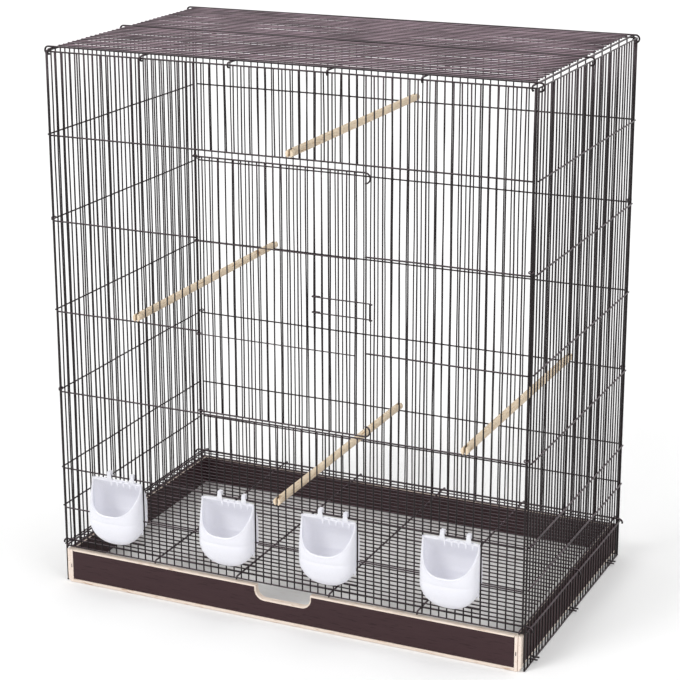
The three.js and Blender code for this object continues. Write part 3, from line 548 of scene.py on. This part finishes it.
# ------------------------------------------------------------------- tray ---
# A pull-out tray: four boards of dark laminate with raw pale edges, pinned
# between two battens at the front corners, over a white-faced base board.
# The front board has a finger cut-out in its rim and a pale edging below.
grain, given, results = new_group(
    "grain", (("Ring spacing", 0.004), ("Pore length", 0.012)), ("Rings", "Pores", "Height"))
# Grain runs along X of the vector: noise drawn out twelve times along it.
stretch = node(grain, "VectorMath", {"operation": "MULTIPLY"}, _0=given["Vector"], _1=(0.08, 1, 1))
drawn_out = stretch.outputs[0]
per_ring = maths(grain, "DIVIDE", 1.0, given["Ring spacing"])
rings = node(grain, "TexNoise", Vector=drawn_out, Scale=per_ring, Detail=3.0, Roughness=0.6, Distortion=0.4)
per_pore = maths(grain, "DIVIDE", 12.0, given["Pore length"])
pores = node(grain, "TexNoise", Vector=drawn_out, Scale=per_pore, Detail=1.0, Roughness=0.5)
pore_mask = between(grain, pores.outputs["Fac"], 0.0, 1.0, 0.62, 0.72)
depth = maths(grain, "SUBTRACT", rings.outputs["Fac"], pore_mask)
grain.links.new(rings.outputs["Fac"], results["Rings"])
grain.links.new(pore_mask, results["Pores"])
grain.links.new(depth, results["Height"])


def board_finish(name, dark, pale, pore, ring_spacing, gloss, relief, turn=0.0):
    """A wood or wood-print finish on Object coordinates, its grain turned
    from X by an angle: two tones by the rings, dark pores, and relief."""
    material, tree = new_material(name)
    spot = node(tree, "TexCoord").outputs["Object"]
    turned = node(tree, "Mapping", Vector=spot, Rotation=(0, 0, turn))
    wood = use_group(tree, grain, Vector=turned.outputs[0], Ring_spacing=ring_spacing, Pore_length=0.02)
    cloud = use_group(tree, mottle, Vector=spot, Cloud_size=0.09, Speck_size=0.0012)
    body = mixed(tree, wood["Rings"], dark, pale)
    spotted = mixed(tree, wood["Pores"], body, pore)
    wear = maths(tree, "MULTIPLY", cloud["Clouds"], 0.35)
    worn = mixed(tree, wear, spotted, (0.8, 0.78, 0.78), "MULTIPLY")
    rough = between(tree, cloud["Specks"], gloss - 0.06, gloss + 0.08, 0.3, 0.7)
    bump = node(tree, "Bump", Strength=0.4, Distance=relief, Height=wood["Height"])
    shader = node(tree, "BsdfPrincipled", Base_Color=worn, Roughness=rough, Normal=bump.outputs[0])
    shader.inputs["Specular IOR Level"].default_value = 0.18
    finish_material(tree, shader)
    return material


CROSSWAYS = np.pi / 2  # turn of the grain on what runs from front to back
# Dark, pale and pore colours, ring spacing, gloss and relief of each finish.
LAMINATE = ((0.041, 0.02, 0.023), (0.057, 0.03, 0.033), (0.033, 0.016, 0.018), 0.006, 0.5, 0.0001)
RAW_EDGE = ((0.8, 0.66, 0.55), (0.92, 0.82, 0.73), (0.6, 0.42, 0.3), 0.0025, 0.72, 0.0002)
RAW_BATTEN = ((0.88, 0.73, 0.62), (0.97, 0.87, 0.79), (0.66, 0.5, 0.38), 0.004, 0.72, 0.0001)
BASE_WHITE = ((0.88, 0.87, 0.86), (0.93, 0.925, 0.915), (0.8, 0.77, 0.73), 0.01, 0.5, 0.0001)
laminate_wide = board_finish("laminate_wide", *LAMINATE)
laminate_deep = board_finish("laminate_deep", *LAMINATE, CROSSWAYS)
raw_edge_wide = board_finish("raw_edge_wide", *RAW_EDGE)
raw_edge_deep = board_finish("raw_edge_deep", *RAW_EDGE, CROSSWAYS)
raw_batten = board_finish("raw_batten", *RAW_BATTEN, CROSSWAYS)
base_white = board_finish("base_white", *BASE_WHITE)


def slab(outlines, levels, axis, faces_look, rim_looks):
    """Flat outlines of as many points each, one at each level along an axis
    (0, 1 or 2 for X, Y or Z). The first and the last are closed faces of one
    look, and each band between two outlines has its own look, or one look
    for each of its sides."""
    count = len(outlines[0])
    verts = np.concatenate([
        np.insert(np.asarray(outline, float), axis, level, axis=1)
        for outline, level in zip(outlines, levels)])
    index = np.arange(len(verts)).reshape(-1, count)
    turned = np.roll(index, -1, axis=1)
    bands = np.stack((index[:-1], turned[:-1], turned[1:], index[1:]), 2)
    flats = [index[0, ::-1], index[-1]]
    if axis == 1:
        bands, flats = bands[..., ::-1], [flat[::-1] for flat in flats]
    parts = [(verts, [], [flat.tolist() for flat in flats], faces_look)]
    for band, looks in zip(bands, rim_looks):
        looks = np.broadcast_to(looks, count)
        parts += [(verts, [], band[looks == look].tolist(), int(look)) for look in np.unique(looks)]
    return parts


def ease_edges(piece, width):
    """Sanded edges: a small rounded bevel on every sharp edge."""
    bevel = piece.modifiers.new("eased_edges", "BEVEL")
    bevel.width = width
    bevel.segments = 2
    bevel.limit_method = "ANGLE"
    bevel.harden_normals = True


def board_outline(low, high):
    """A rectangle's corners, anticlockwise from its low one."""
    return [(low[0], low[1]), (high[0], low[1]), (high[0], high[1]), (low[0], high[1])]


low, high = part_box("tray_front_board")
SANDED, CRISP, SHARP = 0.0005, 0.0003, 0.0002  # widths of eased edges
CUT_HALF, CUT_ROUND, CUT_FLOOR = 0.0465, 0.015, high[2] - 0.021
CHAMFER = 0.0022  # where the laminate is planed off along the upper edge
CHAMFER_DEPTH = 0.001


def front_outline(planed):
    """The front board's outline with its finger cut-out: straight sides and
    quarter circles at the cut-out's lower corners. All of its upper edge
    lies lower, or further from the cut-out, by what is planed off, and its
    ends and its foot are planed a third as much."""
    a = np.linspace(0, np.pi / 2, 9)
    bend = CUT_ROUND + planed
    middle = CUT_HALF - CUT_ROUND, CUT_FLOOR + CUT_ROUND
    right_bend = np.stack((middle[0] + bend * np.cos(a), middle[1] - bend * np.sin(a)), 1)
    top = high[2] - planed
    left_end, right_end, foot = low[0] + planed / 3, high[0] - planed / 3, low[2] + planed / 3
    return np.concatenate((
        [(left_end, foot), (right_end, foot), (right_end, top), (CUT_HALF + planed, top)],
        right_bend, right_bend[::-1] * (-1, 1), [(-CUT_HALF - planed, top), (left_end, top)]))


whole, planed = front_outline(0), front_outline(CHAMFER)
rim_looks = np.ones(len(whole), int)
rim_looks[[0, 1, -1]] = 0  # the foot and both ends stay dark
levels = (low[1], low[1] + CHAMFER_DEPTH, high[1])
parts = slab((planed, whole, whole), levels, 1, 0, (rim_looks, 1))
front = build("front_board", parts, [laminate_wide, raw_edge_wide], "tray", ["tray_front_board"])
ease_edges(front, SHARP)

low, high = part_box("tray_front_edging")
outline = board_outline((low[0], low[2]), (high[0], high[2]))
parts = slab((outline, outline), (low[1], high[1]), 1, 0, (0,))
edging = build("front_edging", parts, [raw_edge_wide], "tray", ["tray_front_edging"])
ease_edges(edging, SANDED)

WORN = 0.003  # how far the laminate stops short of the inner edge
LATH_GAP = 0.0008  # a batten is two laths side by side
LATH_STEP = 0.001  # the outer lath stands back from the inner one
ROUND_FOOT = 0.006  # radius of the outer lath's foot
STAPLE_START, STAPLE_END = 0.0018, 0.003  # across the batten, from its inner edge
STAPLE_FOOT, STAPLE_HEAD = 0.026, 0.032
STAPLE_PROUD = 0.0003


def wrapped_section(inner, outer, foot, head):
    """A board's section, (place, height), and the look of each of its sides.
    The laminate is wrapped over the top, except for a strip of bare wood
    along the inner edge. It runs anticlockwise, whichever side is inner."""
    strip = inner + np.sign(outer - inner) * WORN
    outline = [(inner, foot), (outer, foot), (outer, head), (strip, head), (inner, head)]
    looks = [0, 0, 0, 1, 0]
    return (outline, looks) if outer > inner else (outline[::-1], looks[-2::-1] + looks[-1:])


for side, sign in (("left", -1), ("right", 1)):
    low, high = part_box(f"tray_batten_{side}")
    inner_x, outer_x = (low[0], high[0]) if sign > 0 else (high[0], low[0])
    middle = (inner_x + outer_x) / 2
    inner_gap, outer_gap = middle - sign * LATH_GAP / 2, middle + sign * LATH_GAP / 2
    a = np.linspace(-np.pi / 2, 0, 7)
    foot = np.stack((outer_x - sign * ROUND_FOOT * (1 - np.cos(a)), low[2] + ROUND_FOOT * (1 + np.sin(a))), 1)
    foot = foot[foot[:, 0] * sign > middle * sign]
    outer_lath = np.concatenate(([(outer_gap, low[2])], foot, [(outer_x, high[2]), (outer_gap, high[2])]))
    inner_lath = board_outline((inner_x, low[2]), (inner_gap, high[2]))
    staple_low = (inner_x + sign * STAPLE_START, STAPLE_FOOT)
    staple = board_outline(staple_low, (inner_x + sign * STAPLE_END, STAPLE_HEAD))
    parts = []
    for outline, start, end, look in (
            (inner_lath, low[1], high[1], 0), (outer_lath, low[1] + LATH_STEP, high[1], 0),
            (staple, low[1] - STAPLE_PROUD, low[1] + STAPLE_PROUD, 1)):
        parts += slab((outline[::sign], outline[::sign]), (start, end), 1, look, (look,))
    looks = [raw_batten, enamel]
    batten = build(f"corner_batten_{side}", parts, looks, "tray", [f"tray_batten_{side}"])
    ease_edges(batten, CRISP)
    low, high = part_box(f"tray_side_{side}")
    inner_x, outer_x = (low[0], high[0]) if sign > 0 else (high[0], low[0])
    outline, rim_looks = wrapped_section(inner_x, outer_x, low[2], high[2])
    parts = slab((outline, outline), (low[1], high[1]), 1, 1, (rim_looks,))
    looks = [laminate_deep, raw_edge_deep]
    board = build(f"side_board_{side}", parts, looks, "tray", [f"tray_side_{side}"])
    ease_edges(board, CRISP)

low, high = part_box("tray_rear_board")
outline, rim_looks = wrapped_section(low[1], high[1], low[2], high[2])
parts = slab((outline, outline), (low[0], high[0]), 0, 1, (rim_looks,))
rear = build("rear_board", parts, [laminate_wide, raw_edge_wide], "tray", ["tray_rear_board"])
ease_edges(rear, CRISP)

low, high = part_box("tray_base_board")
outline = board_outline(low, high)
parts = slab((outline, outline), (low[2], high[2]), 2, 0, (1,))
base = build("base_board", parts, [base_white, raw_edge_deep], "tray", ["tray_base_board"])
ease_edges(base, SANDED)

# ------------------------------------------------------------------- door ---
# The door's bars are pressed into two stout rails and tied by two thin ones.
# Rings at the rails' left ends go round the hinge post, and the stout rails
# pass in front of the latch post and end there in half-round hooks.
TIE = 0.0009  # radius of the thin rails
PRESSED = 0.0003  # how deep the bars sink into the rails
HOOK = 0.008  # radius of the hooks
TOP_DROP, FOOT_RISE, TIE_DROP = 0.010, 0.005, 0.005  # from the wall's rails to the door's
FIRST_BAR, LAST_BAR = 0.012, 0.017  # from the hinge post, and from the latch post
DOOR_STRAY, DOOR_FLATNESS = 0.0006, 0.3
HINGE_X, LATCH_X = FRONT_US[HINGE], FRONT_US[LATCH_POST]
DOOR_OUT = EDGE + RAIL + CLEAR
DOOR_BARS_OUT = DOOR_OUT - RAIL + PRESSED - BAR
DOOR_TOP, DOOR_FOOT = EAVES - TOP_DROP, LOWER + FOOT_RISE
TIES = (MIDDLE - TIE_DROP, UPPER - TIE_DROP)
DOOR_US = np.linspace(HINGE_X + FIRST_BAR, LATCH_X - LAST_BAR, 20)
DOOR_START = HINGE_X + EDGE + CLEAR
bars = standing(DOOR_US, DOOR_FOOT, DOOR_TOP, DOOR_STRAY)
bars[..., 1] = bars[..., 1] * DOOR_FLATNESS + DOOR_BARS_OUT
parts = [tube(in_wall("front", bars), BAR, (1, 0, 0))]
for z, side in ((DOOR_TOP, -1), (DOOR_FOOT, 1)):
    a = np.radians(np.linspace(-90, 90, 15)) * side
    hook = np.stack((LATCH_X + HOOK * np.cos(a), z + side * HOOK + HOOK * np.sin(a)), 1)
    line = np.concatenate((np.linspace((DOOR_START, z), hook[0], 15)[:-1], hook))
    parts.append(tube(in_wall("front", np.insert(line, 1, DOOR_OUT, axis=1)), RAIL, (0, 1, 0)))
for z in TIES:
    tie = lying(z, DOOR_START, DOOR_US[-1], DOOR_OUT - PRESSED, POST_STRAY)
    parts.append(tube(in_wall("front", tie), TIE, (0, 0, 1)))
for z in (DOOR_TOP, DOOR_FOOT, *TIES):
    parts.append(ring((HINGE_X, FRONT_Y, z), EDGE * np.sqrt(2) + CLEAR + RING, tilt=0.0006))
build("door_wires", parts, [enamel], "door", ["front_door"])

# ------------------------------------------------------------------ latch ---
# One bent wire. Its two arms lie in front of the door's bars, turn back
# round a bar at the left, and at the right turn back past the latch post
# into the locking bar that slides behind the post.
LATCH = 0.001
LATCH_LOW, LATCH_HIGH = 0.51213, 0.53613
TRAVEL, NOSE = 0.005, 0.002
TURN_STEPS = 13
EYE_BAR = DOOR_US[14]  # the bar that the eyes turn round
EYE_PLAY = 0.0008
TAIL = 0.002
DIP = 0.0035  # the noses dip on their way round the post
eye_x = EYE_BAR - EYE_PLAY
nose_x = LATCH_X + TRAVEL + NOSE
lock_x = LATCH_X + TRAVEL
arm_out = DOOR_BARS_OUT + BAR + CLEAR + LATCH
bar_in = DOOR_BARS_OUT - BAR - CLEAR - LATCH
post_in = -(EDGE + CLEAR + LATCH)


def turn_back(x, start, end, side):
    """Half a turn of wire, (x, out), to the right or, with side -1, to the
    left: x plus the radius times sin a, and the middle of start and end less
    half the way between them times cos a."""
    a = np.radians(np.linspace(0, 180, TURN_STEPS))
    half = (end - start) / 2
    return np.stack((x + side * abs(half) * np.sin(a), (start + end) / 2 - half * np.cos(a)), 1)


eye = turn_back(eye_x, bar_in, arm_out, -1)
nose = turn_back(nose_x, arm_out, post_in, 1)
tail = [(EYE_BAR + TRAVEL + BAR + TAIL, bar_in)]
arm = np.concatenate((tail, eye, np.linspace(eye[-1], nose[0], 12)[1:-1], nose, [(lock_x, post_in)]))
round_nose = (np.arange(len(arm)) - (len(arm) - TURN_STEPS - 2)) / TURN_STEPS
dip = DIP * np.clip(round_nose, 0, 1)
parts = []
for z in (LATCH_LOW, LATCH_HIGH):
    parts.append(tube(in_wall("front", np.column_stack((arm, z - dip))), LATCH, (0, 0, 1), 8))
lock_foot = (lock_x, post_in, LATCH_LOW - DIP - LATCH)
lock_head = (lock_x, post_in, LATCH_HIGH - DIP + LATCH)
parts.append(tube(in_wall("front", np.linspace(lock_foot, lock_head, 6)), LATCH, (1, 0, 0), 8))
build("latch_wire", parts, [enamel], "latch", ["door_latch"])

# -------------------------------------------------------------- seed cups ---
# One moulding of translucent white plastic. A deep pocket bulges out in front
# of the wall, its mouth cut down to a rolled lip. Behind the wall a hood
# bulges in, with a hole for the birds. Two tabs hook over the hanging rail.
CUP_WALL = 0.0018
CUP_TOP, CUP_BEND, CUP_FOOT, HOOD_FOOT = -0.005, -0.072, -0.110, -0.101  # from the hanging rail
CUP_HALF, HOOD_HALF = 0.0438, 0.0424  # insides
CUP_OUT, HOOD_IN = 0.0298, 0.031
CUP_FULL, HOOD_FULL = -0.060, -0.045  # where each has come out in full
CUP_SQUARENESS, HOOD_SQUARENESS = 2.7, 4
HOOD_DROP = 0.001  # the hood's rim under the top edge
GROOVE_LEVELS = (-0.067, -0.088)
CUP_LIP = 0.052  # the lip's lowest point under the top edge
BEAD, BEAD_SWELL = 0.0009, 0.0012
FLANGE = 0.0012  # half the thickness of the flanges at its sides
FLANGE_FOOT = -0.090
FACE = -0.003  # the cup's middle plane, out from the hanging rail
CUP_STEPS = 57


def shell(grid, thickness):
    """A closed shell from a grid of points (row, column, xyz): the grid, the
    same grid moved inwards along its normals by the thickness, and four
    strips between their borders. Normals are the rows' direction times the
    columns' direction, and a pole takes the mean of its neighbours."""
    rows = np.gradient(grid, axis=0)
    columns = np.gradient(grid, axis=1)
    normal = np.cross(rows, columns)
    length = np.linalg.norm(normal, axis=2, keepdims=True)
    flat = length[..., 0] < 1e-12
    normal = np.where(length < 1e-12, 0, normal / np.maximum(length, 1e-12))
    for end, near in ((0, 1), (-1, -2)):
        mean = normal[near].mean(axis=0)
        normal[end][flat[end]] = mean / max(np.linalg.norm(mean), 1e-9)
    inside = grid - normal * thickness
    height, width = grid.shape[:2]
    verts = np.concatenate((grid.reshape(-1, 3), inside.reshape(-1, 3)))
    index = np.arange(height * width).reshape(height, width)
    cells = np.stack((index[:-1, :-1], index[1:, :-1], index[1:, 1:], index[:-1, 1:]), -1).reshape(-1, 4)
    under = cells[:, ::-1] + height * width
    rim = np.concatenate((index[0, :], index[1:, -1], index[-1, -2::-1], index[-2:0:-1, 0]))
    turned = np.roll(rim, -1)
    strip = np.stack((rim, turned, turned + height * width, rim + height * width), 1)
    return verts, np.concatenate((cells, under)).tolist(), strip.tolist()


def rounded(a, squareness):
    """A half oval with squared shoulders, (cosine, sine) of a, each raised
    to 2 over the squareness: 2 is an oval, 4 is nearly a rectangle."""
    c, s = np.cos(a), np.sin(a)
    return np.sign(c) * np.abs(c) ** (2 / squareness), np.abs(s) ** (2 / squareness)


def growth(z, full):
    """How far a wall has come out at a height, from 0.05 at the top edge to
    1 at "full" and below: a quarter sine."""
    return 0.05 + 0.95 * np.sin(np.pi / 2 * np.clip((CUP_TOP - z) / (CUP_TOP - full), 0, 1))


def grooved(z):
    """Two shallow moulded grooves round a bowl, each a bell curve in height:
    4% and 2% of the depth."""
    bells = np.exp(-(((z[..., None] - GROOVE_LEVELS) / 0.003) ** 2))
    return 1 - bells @ (0.04, 0.02)


def bowl(angles, rim, half, reach, full, foot, squareness):
    """A bulging wall closed below. Over the bend it is a squared half oval
    at each height, its depth growing from the top edge, up to the rim's
    height at each angle. Under the bend it shrinks as a quarter circle."""
    c, s = rounded(angles, squareness)
    b = np.linspace(np.pi / 2, 0, 17)[:, None]
    z = CUP_BEND - (CUP_BEND - foot) * np.sin(b) + 0 * s
    ball = np.stack((half * c * np.cos(b), FACE + reach * s * np.cos(b) * grooved(z), z), 2)
    t = np.linspace(0, 1, 27)[1:, None]
    z = CUP_BEND + t * (rim - CUP_BEND)
    wall = np.stack((half * c + 0 * t, FACE + reach * s * growth(z, full) * grooved(z), z), 2)
    return shell(np.concatenate((ball, wall)), CUP_WALL)


def lip_height(a):
    """The lip's height at the angles a: the top edge less the lip's depth
    times the sine of a to the power 0.85."""
    return CUP_TOP - CUP_LIP * np.abs(np.sin(a)) ** 0.85


def pocket():
    """The seed pocket in front of the wall, cut down to the lip."""
    a = np.linspace(np.pi, 0, CUP_STEPS)[None, :]
    return bowl(a, lip_height(a), CUP_HALF, -CUP_OUT, CUP_FULL, CUP_FOOT, CUP_SQUARENESS)


def hood():
    """The hood behind the wall, which opens into the pocket."""
    a = np.linspace(0, np.pi, CUP_STEPS)[None, :]
    rim = CUP_TOP - HOOD_DROP + 0 * a
    return bowl(a, rim, HOOD_HALF, HOOD_IN, HOOD_FULL, HOOD_FOOT, HOOD_SQUARENESS)


def lip():
    """The rolled lip along the pocket's rim, a round bead that is thickest
    at its lowest point: its radius grows by the swell times sin^4 a."""
    a = np.linspace(np.pi, 0, CUP_STEPS)
    c, s = rounded(a, CUP_SQUARENESS)
    z = lip_height(a)
    rim = np.stack((CUP_HALF * c, FACE - (CUP_OUT - BEAD) * s * growth(z, CUP_FULL), z), 1)
    return tube(rim, BEAD + BEAD_SWELL * np.sin(a) ** 4, (0, 1, 0.3), 10)


def moulded_bar(sections):
    """A bar lofted through rectangles (x, y, half width, half depth, z)."""
    x, y, half, deep, z = np.array(sections, float).T
    corners = [(-1, -1), (1, -1), (1, 1), (-1, 1)]
    verts = np.stack([np.stack((x + i * half, y + j * deep, z), 1) for i, j in corners], 1)
    index = np.arange(len(z) * 4).reshape(-1, 4)
    turned = np.roll(index, -1, axis=1)
    quads = np.stack((index[:-1], turned[:-1], turned[1:], index[1:]), -1).reshape(-1, 4)
    return verts.reshape(-1, 3), [], quads.tolist() + [index[0, ::-1].tolist(), index[-1].tolist()]


def tab(x):
    """A hook tab: a post that flares at its foot, a bridge over the rail
    and a short tip behind it."""
    post = moulded_bar([
        (x, FACE, 0.0055, 0.001, CUP_TOP - 0.002), (x, FACE, 0.0042, 0.001, CUP_TOP + 0.0015),
        (x, FACE, 0.0034, 0.001, 0.002), (x, FACE, 0.003, 0.001, 0.008)])
    bridge = moulded_bar([(x, 0.0006, 0.003, 0.0035, 0.0021), (x, 0.0006, 0.003, 0.0035, 0.008)])
    tip = moulded_bar([(x, 0.003, 0.0028, 0.001, -0.0016), (x, 0.003, 0.003, 0.001, 0.0025)])
    return [post, bridge, tip]


def tooth(x):
    """A small pointed rib that hangs from the top edge inside the pocket."""
    return moulded_bar([
        (x, FACE + 0.0005, 0.0003, 0.0006, CUP_TOP - 0.0105),
        (x, FACE - 0.0002, 0.0012, 0.0013, CUP_TOP - 0.0045),
        (x, FACE - 0.0002, 0.0017, 0.0014, CUP_TOP)])


cup_plastic, tree = new_material("cup_plastic")
spot = node(tree, "TexCoord").outputs["Object"]
flow = use_group(tree, mottle, Vector=spot, Cloud_size=0.03, Speck_size=0.0008)
tint = mixed(tree, flow["Clouds"], (0.69, 0.69, 0.75), (0.73, 0.73, 0.78))
gloss = between(tree, flow["Specks"], 0.22, 0.4, 0.3, 0.7)
bump = node(tree, "Bump", Strength=0.15, Distance=0.0002, Height=flow["Height"])
shader = node(tree, "BsdfPrincipled", Base_Color=tint, Roughness=gloss, Normal=bump.outputs[0])
shader.inputs["Subsurface Weight"].default_value = 0.4
shader.inputs["Subsurface Radius"].default_value = (1.0, 1.0, 1.15)
shader.inputs["Subsurface Scale"].default_value = 0.012
# Painted light: a faint glow of emission stands in for light that comes through the thin wall.
shader.inputs["Emission Color"].default_value = (0.94, 0.94, 1, 1)
shader.inputs["Emission Strength"].default_value = 0.14  # light that comes through the thin wall
finish_material(tree, shader)

TABS = (-0.0142, 0.0274)  # from the cup's middle
TEETH = (-0.010, 0.001, 0.012, 0.023, 0.034)
for number, (first, last) in enumerate(PORTS, 1):
    middle = np.array(((FRONT_US[first] + FRONT_US[last]) / 2, FRONT_Y, HANG))
    top_bar = moulded_bar([
        (0, FACE, CUP_HALF, 0.0011, CUP_TOP - 0.0028), (0, FACE, CUP_HALF, 0.0012, CUP_TOP)])
    parts = [pocket(), hood(), lip(), top_bar]
    for x in (-CUP_HALF, CUP_HALF):
        parts.append(moulded_bar([(x, FACE, FLANGE, FLANGE, z) for z in (FLANGE_FOOT, CUP_TOP)]))
    parts += [bar for x in TABS for bar in tab(x)] + [tooth(x) for x in TEETH]
    parts = [(part[0] + middle, *part[1:]) for part in parts]
    body, replaced = f"feeder_{number}", [f"feeder_cup_{number}"]
    cup = build(f"seed_cup_{number}", parts, [cup_plastic], body, replaced)
    ease_edges(cup, CRISP)

# ---------------------------------------------------------------- perches ---
# Four turned dowels of pale wood with fine grooves along them for the birds'
# grip. Each end is slotted, straddles a bar of the wall, and lies on a rail.
PERCH = 0.0062  # radius
PRONG = 0.014  # depth of the slots
SLOT = 0.0021  # half the width of a slot
GROOVES = 10
GROOVE_CREASE = 0.6  # radians
PERCH_BODIES = {
    "perch_top": "perch_a", "perch_left": "perch_b", "perch_right": "perch_c", "perch_low": "perch_d"}


def dowel_section(a):
    """The grooved outline of a dowel at the angles a: radius times (1 less
    0.06 times the eighth power of the cosine of half the grooves' phase)."""
    radius = PERCH * (1 - 0.06 * np.abs(np.cos(a * GROOVES / 2)) ** 8)
    return np.stack((radius * np.cos(a), radius * np.sin(a)), 1)


def loft(outline, ys):
    """A closed outline (x, z) carried along Y, with flat caps."""
    count = len(outline)
    verts = np.concatenate([np.insert(outline, 1, y, axis=1) for y in ys])
    index = np.arange(len(ys) * count).reshape(len(ys), count)
    turned = np.roll(index, -1, axis=1)
    quads = np.stack((index[:-1], index[1:], turned[1:], turned[:-1]), -1).reshape(-1, 4)
    return verts, quads.tolist(), [index[0].tolist(), index[-1, ::-1].tolist()]


DOWEL_WOOD = ((0.78, 0.61, 0.42), (0.92, 0.8, 0.63), (0.58, 0.39, 0.22), 0.0028, 0.62, 0.0003)
KNOT = (-0.2400, 0.182, 0.4712)  # a brown knot near the back of the left perch
dowel_wood = board_finish("dowel_wood", *DOWEL_WOOD, CROSSWAYS)
tree = dowel_wood.node_tree
colour = next(item for item in tree.nodes if item.type == "BSDF_PRINCIPLED").inputs["Base Color"]
spot = node(tree, "TexCoord").outputs["Object"]
away = node(tree, "VectorMath", {"operation": "DISTANCE"}, _0=spot, _1=KNOT).outputs["Value"]
knot = between(tree, away, 0.85, 0.0, 0.002, 0.007)
plain = colour.links[0].from_socket
tree.links.new(mixed(tree, knot, plain, (0.3, 0.13, 0.05)), colour)

cheek_angle = np.arccos(SLOT / PERCH)
right_cheek = dowel_section(np.linspace(-cheek_angle, cheek_angle, 25))
left_cheek = right_cheek[::-1] * (-1, 1)
for name, body in PERCH_BODIES.items():
    low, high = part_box(name)
    middle = ((low[0] + high[0]) / 2, (low[2] + high[2]) / 2)
    ys = np.linspace(low[1] + PRONG, high[1] - PRONG, 16)
    parts = [loft(dowel_section(np.linspace(0, 2 * np.pi, 61)[:-1]) + middle, ys)]
    for start, end in ((low[1], ys[0]), (ys[-1], high[1])):
        for cheek in (left_cheek, right_cheek):
            parts.append(loft(cheek + middle, np.linspace(start, end, 3)))
    build(f"{name}_dowel", parts, [dowel_wood], body, [name], GROOVE_CREASE)

# ----------------------------------------------------------------- finish ---
# The box of the dressed cage, without the floor.
low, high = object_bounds()
